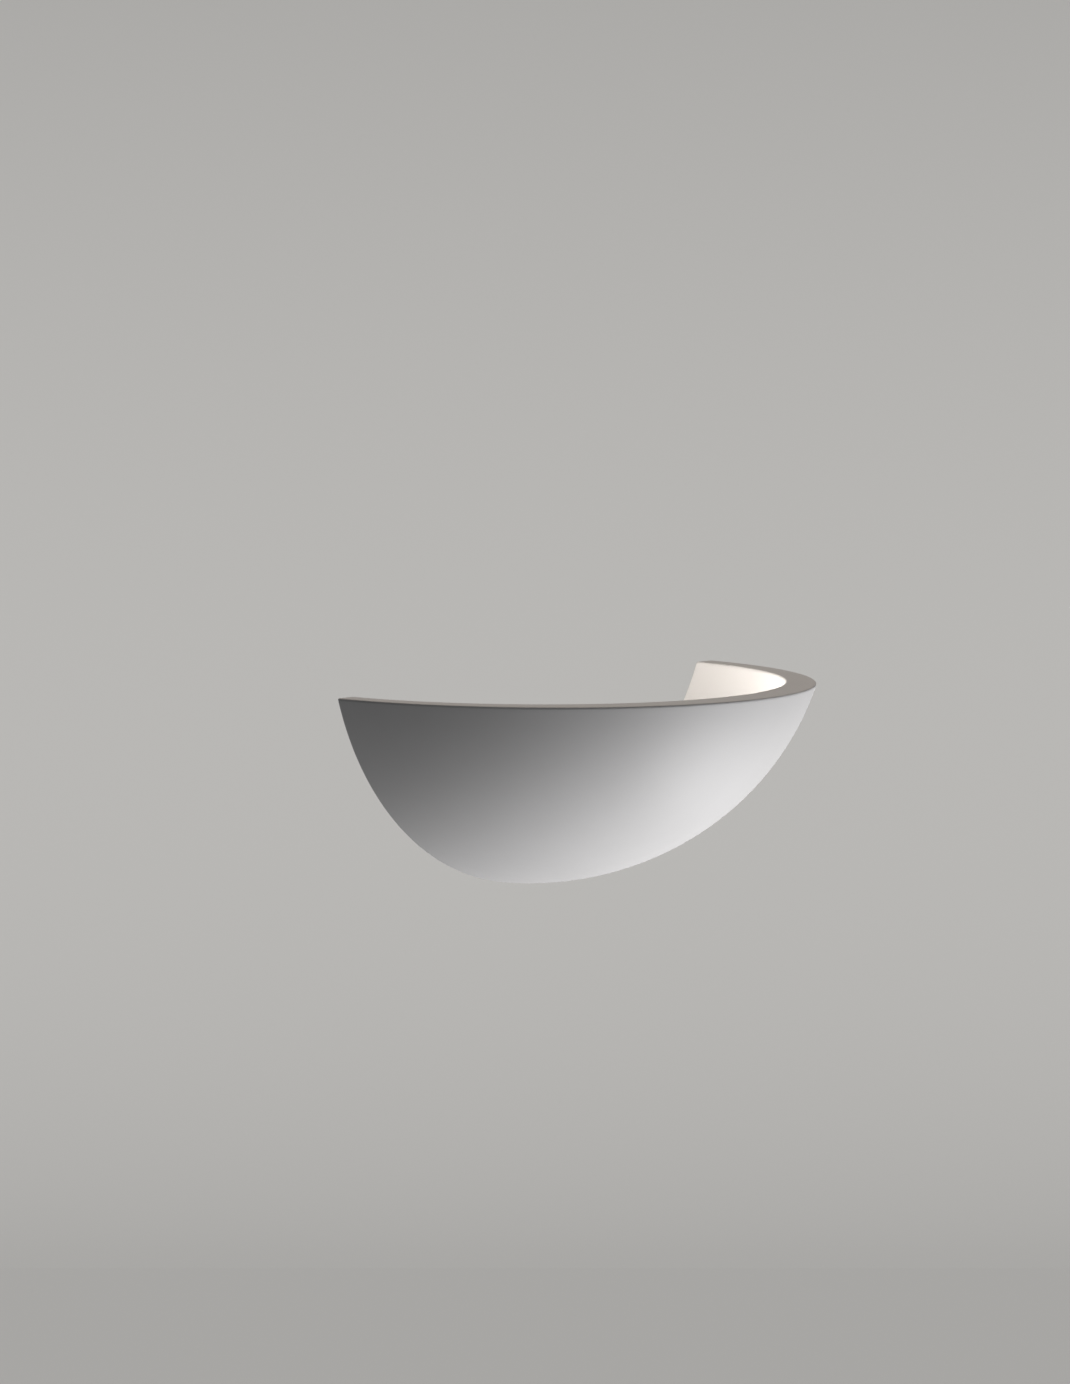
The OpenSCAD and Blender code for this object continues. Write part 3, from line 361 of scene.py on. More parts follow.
# %% [markdown]
# ## Finishes of the small parts
# Metal sheet keeps the marks of its rolls, zinc has a faint cool bloom, powder coat has the skin of
# an orange, and unglazed ceramic is chalky. All of these are only different numbers.

# %% Dimples of hammered sheet
def dimples(tree):
    """Shallow round dents, packed close together, as rolled into the sheet of a reflector."""
    place = put(tree, "ShaderNodeTexCoord")
    cells = put(tree, "ShaderNodeTexVoronoi", feature="SMOOTH_F1", Scale=330.0, Smoothness=0.6)
    join(tree, (place.outputs["Object"], cells.inputs["Vector"]))
    return cells.outputs["Distance"]


print("dimples about 3 mm apart")

# %% Metals
# Each finish: light tone, dark tone, range of roughness; how fine and how strong the drift is; how
# strong and how deep in millimetres the bump is; where the bump comes from.
METAL = 1.0
zinc = finish(
    "zinc_plate", (0.66, 0.68, 0.70), (0.47, 0.50, 0.54), (0.26, 0.48), 170.0, 2.6, 0.20, 0.05,
    grain_of(2500.0, 400.0, 0.5), METAL,
)
bright_aluminium = finish(
    "bright_aluminium", (0.88, 0.89, 0.90), (0.80, 0.81, 0.82), (0.16, 0.30), 60.0, 1.2, 0.10, 0.02,
    lines_of(15.0, 1400.0, 1400.0), METAL,
)
hammered = finish(
    "hammered_aluminium", (0.90, 0.905, 0.91), (0.84, 0.845, 0.85), (0.14, 0.24), 60.0, 1.2, 0.70,
    0.30, dimples, METAL,
)
brass = finish(
    "turned_brass", (0.80, 0.62, 0.30), (0.66, 0.48, 0.20), (0.22, 0.40), 200.0, 1.4, 0.08, 0.02,
    lines_of(1200.0, 60.0, 1200.0), METAL,
)
nickel = finish(
    "nickel_plate", (0.76, 0.73, 0.67), (0.66, 0.62, 0.55), (0.15, 0.30), 240.0, 1.4, 0.06, 0.02,
    lines_of(1600.0, 200.0, 200.0), METAL,
)
spring_wire = finish(
    "spring_wire", (0.55, 0.56, 0.58), (0.40, 0.41, 0.43), (0.25, 0.40), 300.0, 1.5, 0.10, 0.02,
    lines_of(600.0, 1800.0, 1800.0), METAL,
)
lamp_foil = finish(
    "thin_foil", (0.52, 0.52, 0.54), (0.40, 0.41, 0.44), (0.3, 0.5), 500.0, 1.5, 0.2, 0.02,
    lines_of(80.0, 2000.0, 2000.0), METAL,
)
powder_coat = finish(
    "powder_coat", (0.84, 0.83, 0.80), (0.79, 0.78, 0.75), (0.30, 0.42), 25.0, 1.4, 0.45, 0.12,
    grain_of(1500.0, 620.0, 0.7),
)
print("metals and coat done")

# %% Ceramic, fibre, rubber, plug and sleeve
chalky_ceramic = finish(
    "unglazed_ceramic", (0.88, 0.85, 0.78), (0.80, 0.77, 0.70), (0.55, 0.75), 120.0, 1.4, 0.25,
    0.06, grain_of(2200.0, 500.0, 0.4),
)
fibre = finish(
    "pressed_fibre", (0.46, 0.30, 0.17), (0.33, 0.21, 0.11), (0.55, 0.75), 300.0, 1.6, 0.3, 0.05,
    lines_of(900.0, 2600.0, 400.0),
)
rubber = finish(
    "soft_rubber", (0.035, 0.035, 0.038), (0.022, 0.022, 0.024), (0.6, 0.8), 150.0, 1.4, 0.25, 0.05,
    grain_of(1800.0, 400.0, 0.4),
)
plug_plastic = finish(
    "moulded_plug", (0.66, 0.66, 0.64), (0.58, 0.58, 0.56), (0.4, 0.55), 150.0, 1.2, 0.15, 0.04,
    grain_of(1500.0, 500.0, 0.5),
)
woven_sleeve = finish(
    "woven_sleeve", (0.86, 0.84, 0.76), (0.70, 0.66, 0.56), (0.7, 0.9), 500.0, 2.2, 0.45, 0.06,
    grain_of(5200.0, 2600.0, 0.5),
)
print("soft finishes done")

# %% [markdown]
# ## Glass and the glowing wire
# Light passes through the clear parts, and the wire gives off a warm light of its own. The quartz
# tube round it is fogged a little by the heat.

# %% Clear parts and glow
def clear(name, colour, rough, ior):
    """Glass with a faint drift in its roughness, as from dust and wiping."""
    made, tree, shader = material(name)
    shader.inputs["Base Color"].default_value = (*colour, 1.0)
    shader.inputs["Transmission Weight"].default_value = 1.0
    shader.inputs["IOR"].default_value = ior
    tone = place_group(tree, drift, Scale=40.0, Contrast=1.5)
    range_of = put(tree, "ShaderNodeMapRange")
    range_of.inputs["To Min"].default_value, range_of.inputs["To Max"].default_value = rough
    join(
        tree,
        (tone, range_of.inputs["Value"]),
        (range_of.outputs["Result"], shader.inputs["Roughness"]),
    )
    return made


pane = clear("toughened_glass", (0.93, 0.98, 0.96), (0.02, 0.07), 1.52)
quartz = clear("quartz", (1.0, 0.99, 0.97), (0.03, 0.08), 1.46)
GLOW_COLOUR, GLOW_STRENGTH = (1.0, 0.78, 0.52), 400.0
glowing_wire = finish(
    "glowing_tungsten", (0.60, 0.55, 0.50), (0.45, 0.40, 0.36), (0.35, 0.5), 600.0, 1.5, 0.1, 0.02,
    lines_of(200.0, 2500.0, 2500.0), METAL,
)
glow = glowing_wire.node_tree.nodes["Principled BSDF"]
glow.inputs["Emission Color"].default_value = (*GLOW_COLOUR, 1.0)
glow.inputs["Emission Strength"].default_value = GLOW_STRENGTH
print("clear parts done")

# %% [markdown]
# ## Plaster
# Cast plaster is nearly even, but not quite: the tone drifts a little where it dried, fine sanding
# leaves a soft tooth, and here and there a tiny air bubble broke open at the surface.

# %% The bowl's finish
PIT_SIZE, PIT_SHARE = 0.09, 0.16


def plaster_height(tree):
    """Soft waves of the cast, the tooth of the sanding and a few pin holes.

    Every cell of the pattern could hold a hole. Only those whose random red is low get one.
    """
    tooth = place_group(tree, grain, Scale=1500.0, Coarse_Scale=90.0, Coarse_Share=0.55)
    place = put(tree, "ShaderNodeTexCoord")
    cells = put(tree, "ShaderNodeTexVoronoi", Scale=190.0, feature="F1")
    pits = put(tree, "ShaderNodeMapRange", interpolation_type="SMOOTHSTEP")
    pits.inputs["From Min"].default_value, pits.inputs["From Max"].default_value = 0.0, PIT_SIZE
    sparse = put(tree, "ShaderNodeMath", operation="GREATER_THAN")
    sparse.inputs[1].default_value = PIT_SHARE
    either = put(tree, "ShaderNodeMath", operation="MAXIMUM")
    both = put(tree, "ShaderNodeMath", operation="MULTIPLY")
    split = put(tree, "ShaderNodeSeparateColor")
    join(
        tree,
        (place.outputs["Object"], cells.inputs["Vector"]),
        (cells.outputs["Distance"], pits.inputs["Value"]),
        (cells.outputs["Color"], split.inputs["Color"]),
        (split.outputs["Red"], sparse.inputs[0]),
        (pits.outputs["Result"], either.inputs[0]),
        (sparse.outputs[0], either.inputs[1]),
        (either.outputs[0], both.inputs[0]),
        (tooth, both.inputs[1]),
    )
    return both.outputs[0]


plaster = finish(
    "cast_plaster", (0.86, 0.857, 0.853), (0.81, 0.806, 0.80), (0.52, 0.66), 14.0, 1.6, 0.50, 0.18,
    plaster_height,
)
print("plaster done")

# %% [markdown]
# ## The bowl, built again with soft edges
# The cast bowl is an outer curve with a slimmer curve scooped out of it, cut flat at the rim and at
# the wall. Inside, the wall swells into a boss behind each hanging plate, so that the plugs have
# plaster round them. A boolean would leave knife edges. So we lay a net of points over the shape,
# and then pull every point onto a smooth blend of the surfaces. That rounds all edges at once and
# melts the bosses into the wall, as a mould would.

# %% The surfaces of the bowl, in millimetres
RIM_Z, BACK_Y = 52.0, -3.0
# Both curves have the same middle, MID. Edges are rounded by about SOFT.
OUT_HALF, IN_HALF = np.array([156.945, 177.846, 160.0]), np.array([146.983, 159.276, 133.0])
MID = np.array([0.0, 0.0, 99.0])
SOFT = 1.1
# A hanging plate lies round a sloping line: its middle, its lean, and how far it runs each way.
HANG_X, HANG_MID_Z, LEAN, REACH = 101.483, -4.0, math.radians(51), 20.5
# The boss behind it: its radius, how far it comes forwards, its rounding and how it melts in.
BOSS_R, BOSS_END, BOSS_EDGE, MELT = 13.0, 21.5, 4.0, 7.0


def off_curve(p, half):
    """Rough distance of points from an egg-shaped surface: negative inside."""
    scaled = (p - MID) / half
    slope = np.linalg.norm(scaled / half, axis=1)
    return ((scaled ** 2).sum(axis=1) - 1) / (2 * slope)


def rounded(sides, radius):
    """Distance from the shape that lies inside every side, with its edges rounded."""
    past = np.linalg.norm(np.maximum(sides + radius, 0), axis=0)
    return np.minimum(-radius, sides.max(axis=0)) + past


def off_boss(p):
    """Distance from the bosses: slabs with round ends that lean like the hanging plates."""
    x, z = np.abs(p[:, 0]) - HANG_X, p[:, 2] - HANG_MID_Z
    along = np.clip(x * math.cos(LEAN) + z * math.sin(LEAN), -REACH, REACH)
    beside = np.hypot(x - along * math.cos(LEAN), z - along * math.sin(LEAN)) - BOSS_R
    return rounded(np.stack([beside, -p[:, 1] - BOSS_END]), BOSS_EDGE)


def off_inside(p):
    """Distance from the inner wall with its bosses, which melt together where they meet."""
    wall, boss = -off_curve(p, IN_HALF), off_boss(p)
    near_both = np.maximum(MELT - np.abs(wall - boss), 0) / MELT
    return np.minimum(wall, boss) - near_both ** 2 * MELT / 4


def off_bowl(p):
    """Distance from the bowl: outside, rim, back and inside, with all edges rounded a little."""
    sides = [off_curve(p, OUT_HALF), p[:, 2] - RIM_Z, p[:, 1] - BACK_Y, off_inside(p)]
    return rounded(np.stack(sides), SOFT)


def pull_on(p, rounds=12):
    """Moves points along the slope of the distance until they lie on the blended surface."""
    step = 1e-3
    for _ in range(rounds):
        far_off = off_bowl(p)
        rises = [(off_bowl(p + step * axis) - far_off) / step for axis in np.eye(3)]
        slope = np.stack(rises, axis=1)
        p = p - far_off[:, None] * slope / np.maximum((slope ** 2).sum(axis=1), 1e-6)[:, None]
    return p


print("outer curve", OUT_HALF, "inner curve", IN_HALF)

# %% A net of points over the bowl
# Near an edge the points lie at these distances from it. On the curves they are divided by
# SQUEEZE, and the evenly spread points stop RIM_START short of the rim.
EDGE = [0.0, 0.35, 0.75, 1.2, 1.8, 3.0]
SQUEEZE, RIM_START = 1.5, 3.5


def rim_reach(turn, half):
    """How far the rim lies from the middle of the back, in a given direction."""
    level = 1 - ((RIM_Z - MID[2]) / half[2]) ** 2
    c, s = math.cos(turn), math.sin(turn)
    a = (c / half[0]) ** 2 + (s / half[1]) ** 2
    b = s * BACK_Y / half[1] ** 2
    d = (BACK_Y / half[1]) ** 2 - level
    return (-b + math.sqrt(b * b - a * d)) / a


def on_curve(turn, reach_out, half):
    """The point of a curved surface below a spot of the rim plane."""
    x, y = reach_out * math.cos(turn), BACK_Y + reach_out * math.sin(turn)
    left = max(0.0, 1 - (x / half[0]) ** 2 - (y / half[1]) ** 2)
    return (x, y, MID[2] - half[2] * math.sqrt(left))


# The lines lie close together at the back, over the bosses, and further apart in front.
ease = [0.12, 0.3, 0.55, 0.9, 1.5, 2.3, 3.2, *[4 + 0.8 * k for k in range(23)], 23.0, 25.0]
turns = [0.0, *ease, *range(27, 154, 3), *[180 - e for e in reversed(ease)], 180.0]
turns = [math.radians(180 + t) for t in turns]
STEPS, SWING = 90, math.radians(80)
spread = [math.sin(k / STEPS * SWING) / math.sin(SWING) for k in range(STEPS)]


def curve_rows(turn, half):
    """Points from the lowest middle out to the rim, closer together where the rim turns over."""
    whole = rim_reach(turn, half)
    reaches = [share * (whole - RIM_START) for share in spread]
    reaches += [whole - e / SQUEEZE for e in reversed(EDGE)]
    return [on_curve(turn, r, half) for r in reaches]


def between(start, end):
    """Points from one to the other, closer together at both ends."""
    start, end = Vector(start), Vector(end)
    length = (end - start).length
    edges = [e for e in EDGE[1:] if e < 0.4 * length]
    inner_marks = [length * k / 4 for k in (1.4, 2, 2.6)]
    marks = [0.0, *edges, *inner_marks, *[length - e for e in reversed(edges)], length]
    return [tuple(start.lerp(end, m / length)) for m in marks]


# The search over the bosses looks at shares of the way out, from LEAST to all of it in steps of
# STRIDE, and then halves the last step HALVINGS times.
LEAST, STRIDE, STRIDES, HALVINGS = 0.4, 0.005, 120, 14


def over_bosses(rows):
    """Looks outwards from the middle, and stops each point at the first plaster that it meets."""
    far_ends = np.array(rows).reshape(-1, 3)
    starts = far_ends * [0, 1, 0] + [0, 0, RIM_Z]
    far_off = np.ones(len(starts))
    for share in np.linspace(1.0, LEAST, STRIDES + 1):
        inside = off_inside(starts + share * (far_ends - starts)) < -1e-3
        far_off = np.where(inside, share, far_off)
    near = np.where(far_off < 1, far_off - STRIDE, far_off)
    for _ in range(HALVINGS):
        half_way = (near + far_off) / 2
        inside = off_inside(starts + half_way[:, None] * (far_ends - starts)) < 0
        near, far_off = np.where(inside, near, half_way), np.where(inside, half_way, far_off)
    met = starts + far_off[:, None] * (far_ends - starts)
    return met.reshape(len(rows), -1, 3).tolist()


inner_net = over_bosses([curve_rows(t, IN_HALF) for t in turns])
outer_net = [curve_rows(t, OUT_HALF) for t in turns]
rim_net = [between(a[-1], b[-1]) for a, b in zip(inner_net, outer_net)]
back_nets = [[between(a, b) for a, b in zip(inner_net[k], outer_net[k])] for k in (0, -1)]
print("net:", len(turns), "lines of", len(inner_net[0]), "points")

# %% Join the net and pull it onto the surface
body = bmesh.new()
for net in (inner_net, outer_net, rim_net, *back_nets):
    rows = [[body.verts.new(p) for p in line] for line in net]
    for a, b in zip(rows, rows[1:]):
        for k in range(len(a) - 1):
            body.faces.new((a[k], a[k + 1], b[k + 1], b[k]))
bmesh.ops.remove_doubles(body, verts=body.verts, dist=1e-4)
bmesh.ops.dissolve_degenerate(body, edges=body.edges, dist=1e-4)
bmesh.ops.recalc_face_normals(body, faces=body.faces)
placed = pull_on(np.array([v.co[:] for v in body.verts]))
for vert, spot in zip(body.verts, placed):
    vert.co = Vector(spot) / 1000
for face in body.faces:
    face.smooth = True
skin = bpy.data.meshes.new("bowl_skin")
body.to_mesh(skin)
body.free()
bowl = bpy.data.objects.new("bowl_skin", skin)
bpy.context.collection.objects.link(bowl)
print("bowl:", len(skin.vertices), "points,", len(skin.polygons), "faces")

# %% [markdown]
# ## Seats for the hanging plates
# Each keyhole plate lies flush in a shallow seat in the back of the bowl, and a deeper pocket
# behind it leaves room for the head of its stud. Both are cut with the same shape of cutter, a
# slab with round ends.

# %% Cut the seats
SEAT_R, SEAT_DEPTHS = 9.56, (1.0, -4.5)
POCKET_R, POCKET_DEPTHS, DROP = 5.5, (0.5, -9.5), 8.0


def round_slab(name, start, end, radius, depths):
    """A slab with round ends from one point to another, between two depths, in millimetres."""
    start, end = Vector(start), Vector(end)
    along = math.atan2(end.y - start.y, end.x - start.x)
    ring = [end + radius * Vector((math.cos(along + a), math.sin(along + a)))
            for a in [math.radians(-90 + 7.5 * k) for k in range(25)]]
    ring += [start + radius * Vector((math.cos(along + a), math.sin(along + a)))
             for a in [math.radians(90 + 7.5 * k) for k in range(25)]]
    points = [(p.x / 1000, y / 1000, p.y / 1000) for y in depths for p in ring]
    n = len(ring)
    faces = [tuple(range(n - 1, -1, -1)), tuple(range(n, 2 * n))]
    faces += [(k, (k + 1) % n, n + (k + 1) % n, n + k) for k in range(n)]
    made = sheet_object(name, points, faces, plaster)
    work = bmesh.new()
    work.from_mesh(made.data)
    bmesh.ops.remove_doubles(work, verts=work.verts, dist=1e-7)
    bmesh.ops.recalc_face_normals(work, faces=work.faces)
    work.to_mesh(made.data)
    work.free()
    return made


cutters = []
for side in (-1, 1):
    step = (side * REACH * math.cos(LEAN), REACH * math.sin(LEAN))
    plate_x = side * HANG_X
    ends = [(plate_x + k * step[0], HANG_MID_Z + k * step[1]) for k in (1, -1)]
    cutters.append(round_slab("seat", *ends, SEAT_R, SEAT_DEPTHS))
    cutters.append(round_slab("pocket", (plate_x, 0.0), (plate_x, -DROP), POCKET_R, POCKET_DEPTHS))
for cutter in cutters:
    cut = bowl.modifiers.new("cut", "BOOLEAN")
    cut.object = cutter
    cut.operation = "DIFFERENCE"
    cut.solver = "EXACT"
evaluated = bpy.context.evaluated_depsgraph_get()
carved = bpy.data.meshes.new_from_object(bowl.evaluated_get(evaluated))
bowl.modifiers.clear()
bowl.data = carved
for cutter in cutters:
    bpy.data.objects.remove(cutter)
carved.materials.clear()
carved.materials.append(plaster)
carved.set_sharp_from_angle(angle=math.radians(38))
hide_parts("shell")
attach(bowl, "bowl")
print("carved bowl:", len(carved.vertices), "points")

# %% [markdown]
# ## Deburred edges
# No real part has a knife edge: sheet is deburred, ceramic comes rounded from its mould, glass is
# ground. The frame's own meshes may not be changed, and rounding every edge in the solids would
# make them heavy. So each part that shows gets a copy of itself. The copy's outer edges are
# bevelled by a fraction of a millimetre, and the copy stands for the part.

# %% Bevel a copy of a part
bodies = frame["record"]["behaviour"]["bodies"]
body_of = {node: body for body, held in bodies.items() for node in held}
softened = {}
# Triangles flatter than FLAT are one face. Edges sharper than SHARP are bevelled, and those sharper
# than CREASE keep a crisp line in the shading.
FLAT, SHARP, CREASE = math.radians(0.03), math.radians(35), math.radians(60)


def soften(name, width_mm):
    """Makes the copy: joins its triangles to flat faces, then bevels the edges that stick out."""
    mesh = nodes[name].data.copy()
    mesh.name = name + "_eased"
    work = bmesh.new()
    work.from_mesh(mesh)
    bmesh.ops.remove_doubles(work, verts=work.verts, dist=1e-6)
    bmesh.ops.dissolve_limit(work, angle_limit=FLAT, verts=work.verts, edges=work.edges)
    edges = [e for e in work.edges
             if len(e.link_faces) == 2 and e.is_convex and e.calc_face_angle(0.0) > SHARP]
    bmesh.ops.bevel(
        work, geom=edges, offset=width_mm / 1000, offset_type="OFFSET", segments=2, profile=0.5,
        affect="EDGES", clamp_overlap=False,
    )
    for face in work.faces:
        face.smooth = True
    work.to_mesh(mesh)
    work.free()
    eased = bpy.data.objects.new(name + "_eased", mesh)
    bpy.context.collection.objects.link(eased)
    mesh.set_sharp_from_angle(angle=CREASE)
    weigh = eased.modifiers.new("weigh", "WEIGHTED_NORMAL")
    weigh.weight = 90
    weigh.keep_sharp = True
    seen = eased.evaluated_get(bpy.context.evaluated_depsgraph_get())
    eased.data = bpy.data.meshes.new_from_object(seen)
    eased.modifiers.clear()
    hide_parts(name)
    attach(eased, body_of[name])
    softened[name] = eased
    return len(edges)


# %% Ease the edges of the parts that show
EASE_MM = {
    "wall_plate": 0.2, "support_arm": 0.2, "lamp_bracket": 0.15, "reflector": 0.12,
    "glass_frame": 0.12, "hanger_plate_left": 0.15, "hanger_plate_right": 0.15,
    "hanger_studs": 0.2, "wall_bumpers": 0.3, "terminal_block": 0.35, "holder_left": 0.5,
    "holder_right": 0.5, "lamp_caps": 0.2, "safety_glass": 0.35, "earth_saddle": 0.12,
    "earth_nut": 0.15, "cable_bush": 0.2, "hinge_pin": 0.2,
}
for name, width in EASE_MM.items():
    print(name, soften(name, width), "edges")

# %% [markdown]
# ## Braided sleeves on the two leads
# The leads to the lamp run in a heat-proof sleeve that is braided like a shoelace. In the solids
# they are plain tubes. A bump could fake the braid, but its outline would stay smooth. So a round
# tube is drawn again along the same route, and its radius rises and falls where the strands cross.

# %% The routes, in millimetres, and the braid
SLEEVE_R, STRANDS, TURN_MM, RELIEF = 1.24, 6, 8.0, 0.07
RING_GAP = 0.3
ROUTES = {
    "lead_left": [
        (-49.5, -8.5, 7), (-49.5, -8.5, 11), (-51.5, -10.5, 15), (-62.8, -20, 16),
        (-62.3, -32, 15), (-62.3, -38, 15), (-62.3, -46.5, 15),
    ],
    "lead_right": [
        (-36.5, -8.5, 7), (-36.5, -8.5, 11), (-33.5, -10.5, 16), (-20, -13, 18), (10, -13, 18),
        (40, -13, 18), (58.3, -18, 17), (62.3, -30, 15), (62.3, -38, 15), (62.3, -46.5, 15),
    ],
}


def smooth_route(stops, steps=24):
    """A smooth curve through the stops, as points an equal distance apart."""
    stops = [np.array(p, float) for p in stops]
    padded = [stops[0], *stops, stops[-1]]
    fine = []
    for a, b, c, d in zip(padded, padded[1:], padded[2:], padded[3:]):
        for t in np.arange(steps) / steps:
            fine.append(0.5 * (2 * b + (c - a) * t + (2 * a - 5 * b + 4 * c - d) * t ** 2
                               + (3 * b - a - 3 * c + d) * t ** 3))
    fine = np.array([*fine, stops[-1]])
    run = np.concatenate([[0], np.cumsum(np.linalg.norm(np.diff(fine, axis=0), axis=1))])
    marks = np.linspace(0, run[-1], int(run[-1] / RING_GAP) + 1)
    return np.stack([np.interp(marks, run, fine[:, k]) for k in range(3)], axis=1), marks


def tube_object(name, points, sides, surface):
    """A closed tube from rings of points that follow each other along it."""
    rings = len(points) // sides
    faces = []
    for low_ring, high_ring in zip(range(rings - 1), range(1, rings)):
        for k in range(sides):
            after = (k + 1) % sides
            faces.append((low_ring * sides + k, low_ring * sides + after,
                          high_ring * sides + after, high_ring * sides + k))
    faces += [tuple(range(sides - 1, -1, -1)), tuple(range((rings - 1) * sides, rings * sides))]
    tube = sheet_object(name, points, faces, surface)
    for face in tube.data.polygons:
        face.use_smooth = len(face.vertices) == 4
    return tube


def braided(name, sides=24):
    """The tube: each ring takes its first spoke from the ring before, so it doesn't twist."""
    line, marks = smooth_route(ROUTES[name])
    ahead = np.gradient(line, axis=0)
    ahead /= np.linalg.norm(ahead, axis=1)[:, None]
    spoke = np.array([1.0, 0.0, 0.0]) if name == "lead_left" else np.array([0.0, 1.0, 0.0])
    points = []
    for spot, way, far_along in zip(line, ahead, marks):
        spoke = spoke - way * spoke.dot(way)
        spoke /= np.linalg.norm(spoke)
        other = np.cross(way, spoke)
        for k in range(sides):
            turn = 2 * math.pi * k / sides
            slide = 2 * math.pi * STRANDS * far_along / TURN_MM
            rise = max(math.sin(STRANDS * turn + slide), math.sin(STRANDS * turn - slide))
            reach_out = SLEEVE_R + RELIEF * (rise - 1)
            outward = math.cos(turn) * spoke + math.sin(turn) * other
            points.append(tuple((spot + reach_out * outward) / 1000))
    tube = tube_object(name + "_braid", points, sides, woven_sleeve)
    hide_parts(name)
    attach(tube, body_of[name])
    softened[name] = tube
    return marks[-1]


for name in ROUTES:
    print(name, "is", round(braided(name)), "mm long")

# %% [markdown]
# ## The spring behind the sprung contact
# A pressed spring gets shorter: its coils close up, while the end on its seat stays where it is. A
# moved piece can't do that. So the spring is wound again as one long tube, and the travel of the
# contact pin, by which it would be pressed, is read from the joints. Real springs have their last
# coils closed at both ends, so that they stand straight, and this one has too.

# %% Wind the spring
WIRE_R, COILS, CLOSED, WIRE_SIDES = 0.25, 6.5, 1.0, 12
CLOSED_PITCH = 2.06 * WIRE_R / 1000
start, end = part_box("contact_spring")
seat_x = end.x
travel = next(j["range_m"][1] for j in frame["joints"] if j["name"] == "contact_slide")
coil_r = (end.z - start.z) / 2 - WIRE_R / 1000
core = (start + end) / 2


def climb(turn, free):
    """How far along the axis the wire has come: the first and last turns hardly climb."""
    open_pitch = (free - 2 * CLOSED * CLOSED_PITCH) / (COILS - 2 * CLOSED)
    lower = min(turn, CLOSED) * CLOSED_PITCH
    middle_part = min(max(turn - CLOSED, 0.0), COILS - 2 * CLOSED) * open_pitch
    return lower + middle_part + max(turn - COILS + CLOSED, 0.0) * CLOSED_PITCH


free_length = seat_x - start.x - 2 * WIRE_R / 1000
WIRE_PARTS = 220
wire = []
for k in range(WIRE_PARTS + 1):
    turn = COILS * k / WIRE_PARTS
    angle = 2 * math.pi * turn
    wire.append(Vector((start.x + WIRE_R / 1000 + climb(turn, free_length),
                        core.y + coil_r * math.cos(angle), core.z + coil_r * math.sin(angle))))
points = []
for k, spot in enumerate(wire):
    way = (wire[min(k + 1, WIRE_PARTS)] - wire[max(k - 1, 0)]).normalized()
    outward = (spot - Vector((spot.x, core.y, core.z))).normalized()
    side_way = way.cross(outward).normalized()
    points += [tuple(spot + WIRE_R / 1000 * (math.cos(a) * outward + math.sin(a) * side_way))
               for a in [2 * math.pi * m / WIRE_SIDES for m in range(WIRE_SIDES)]]
coil = tube_object("contact_spring_coil", points, WIRE_SIDES, spring_wire)
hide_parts("contact_spring")
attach(coil, body_of["contact_spring"])
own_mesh(coil)
softened["contact_spring"] = coil
long_mm, travel_mm = (seat_x - start.x) * 1000, travel * 1000
print("spring", round(long_mm, 2), "mm, pressed by", round(travel_mm, 2), "mm")

# %% [markdown]
# ## Dressing the parts
# One list says what every part is made of. The hidden ones are in it too: they show as soon as the
# glass is swung up or the bowl is lifted off.

# %% Which part has which finish
FINISHES = {
    "shell": plaster,
    "hanger_plate_left": zinc, "hanger_plate_right": zinc, "hanger_screws": zinc,
    "hanger_studs": zinc, "hanger_plugs": plug_plastic,
    "wall_bumpers": rubber, "cable_bush": rubber,
    "wall_plate": powder_coat, "support_arm": powder_coat, "lamp_bracket": powder_coat,
    "terminal_block": chalky_ceramic, "holder_left": chalky_ceramic, "holder_right": chalky_ceramic,
    "lamp_caps": chalky_ceramic,
    "terminal_tubes": brass, "earth_stud": brass, "earth_nut": brass,
    "terminal_screws": zinc, "block_screw": zinc, "arm_screws": zinc, "earth_washer": zinc,
    "earth_saddle": zinc, "hinge_pin": zinc,
    "bracket_rivets": bright_aluminium, "reflector": hammered, "glass_frame": bright_aluminium,
    "holder_rivets": nickel, "contact_fixed": nickel, "contact_seat": nickel,
    "contact_plunger": nickel, "lamp_contacts": nickel,
    "contact_spring": spring_wire, "lamp_foils": lamp_foil, "lamp_filament": glowing_wire,
    "insulating_washers": fibre,
    "lead_left": woven_sleeve, "lead_right": woven_sleeve,
    "lamp_tube": quartz, "safety_glass": pane,
}
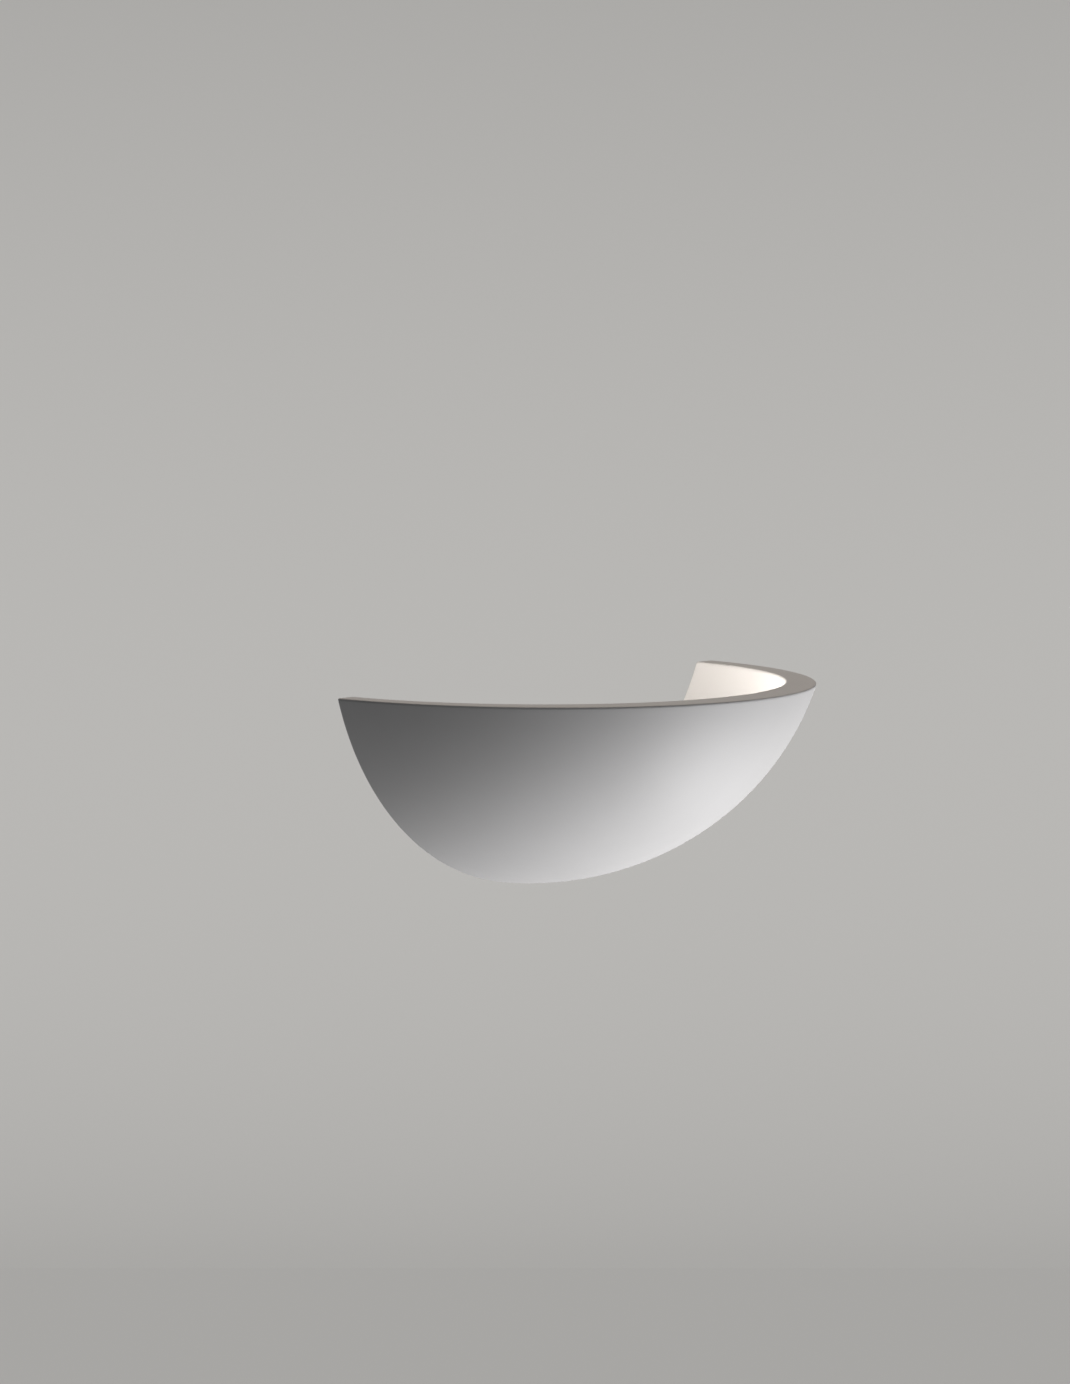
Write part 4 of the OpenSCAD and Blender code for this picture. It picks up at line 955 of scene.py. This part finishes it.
for name, part in [*nodes.items(), *softened.items()]:
    part.data.materials.clear()
    part.data.materials.append(FINISHES[name])
print("dressed", len(nodes), "parts, all of them:", set(nodes) == set(FINISHES))

# %% [markdown]
# ## The light inside
# The glowing wire alone would need a long render to light the bowl cleanly. A flat warm light just
# above the glass does the same work: it throws the reflector's beam up along the inner wall. A
# small round light just over it stands for what bounces about in the bowl, so the wall stays
# bright further down.

# %% Warm light above the glass
low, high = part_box("safety_glass")
middle = (low + high) / 2
WARM, BEAM_WATTS, SPILL_WATTS = (1.0, 0.93, 0.86), 0.4, 0.48
BEAM_LIFT, SPILL_LIFT, SPILL_R, FRAME_EDGES = 0.0015, 0.0135, 0.012, 0.006
beam = soft_box(
    "beam", (middle.x, middle.y, high.z + BEAM_LIFT), (middle.x, middle.y, high.z + 1.0),
    (high.x - low.x - FRAME_EDGES, high.y - low.y - FRAME_EDGES), BEAM_WATTS, WARM,
)
beam.visible_glossy = False
spill_data = bpy.data.lights.new("spill", "POINT")
spill_data.energy, spill_data.color, spill_data.shadow_soft_size = SPILL_WATTS, WARM, SPILL_R
spill = bpy.data.objects.new("spill", spill_data)
spill.location = (middle.x, middle.y, high.z + SPILL_LIFT)
spill.visible_camera = spill.visible_glossy = False
bpy.context.collection.objects.link(spill)
print("beam", [round(v, 4) for v in beam.location])

# %% [markdown]
# ## Two sets of light
# The key stands close to the floor, and would leave a bright patch on the paper. So the studio
# lights are linked to a collection that holds only the object.

# %% Studio lights for the object alone
lit = bpy.data.collections.new("wall_light")
for part in [*nodes.values(), *softened.values(), bowl]:
    lit.objects.link(part)
for name in ("key", "front", "below", "overhead", "back_fill"):
    bpy.data.objects[name].light_linking.receiver_collection = lit

# %% [markdown]
# ## The look
# The plain view keeps white plaster white, where a filmic one would turn it grey.

# %% Look of the picture
scene = bpy.context.scene
scene.view_settings.view_transform = "Standard"
scene.view_settings.look = "None"
scene.view_settings.exposure = 0.0
print("view:", scene.view_settings.view_transform)
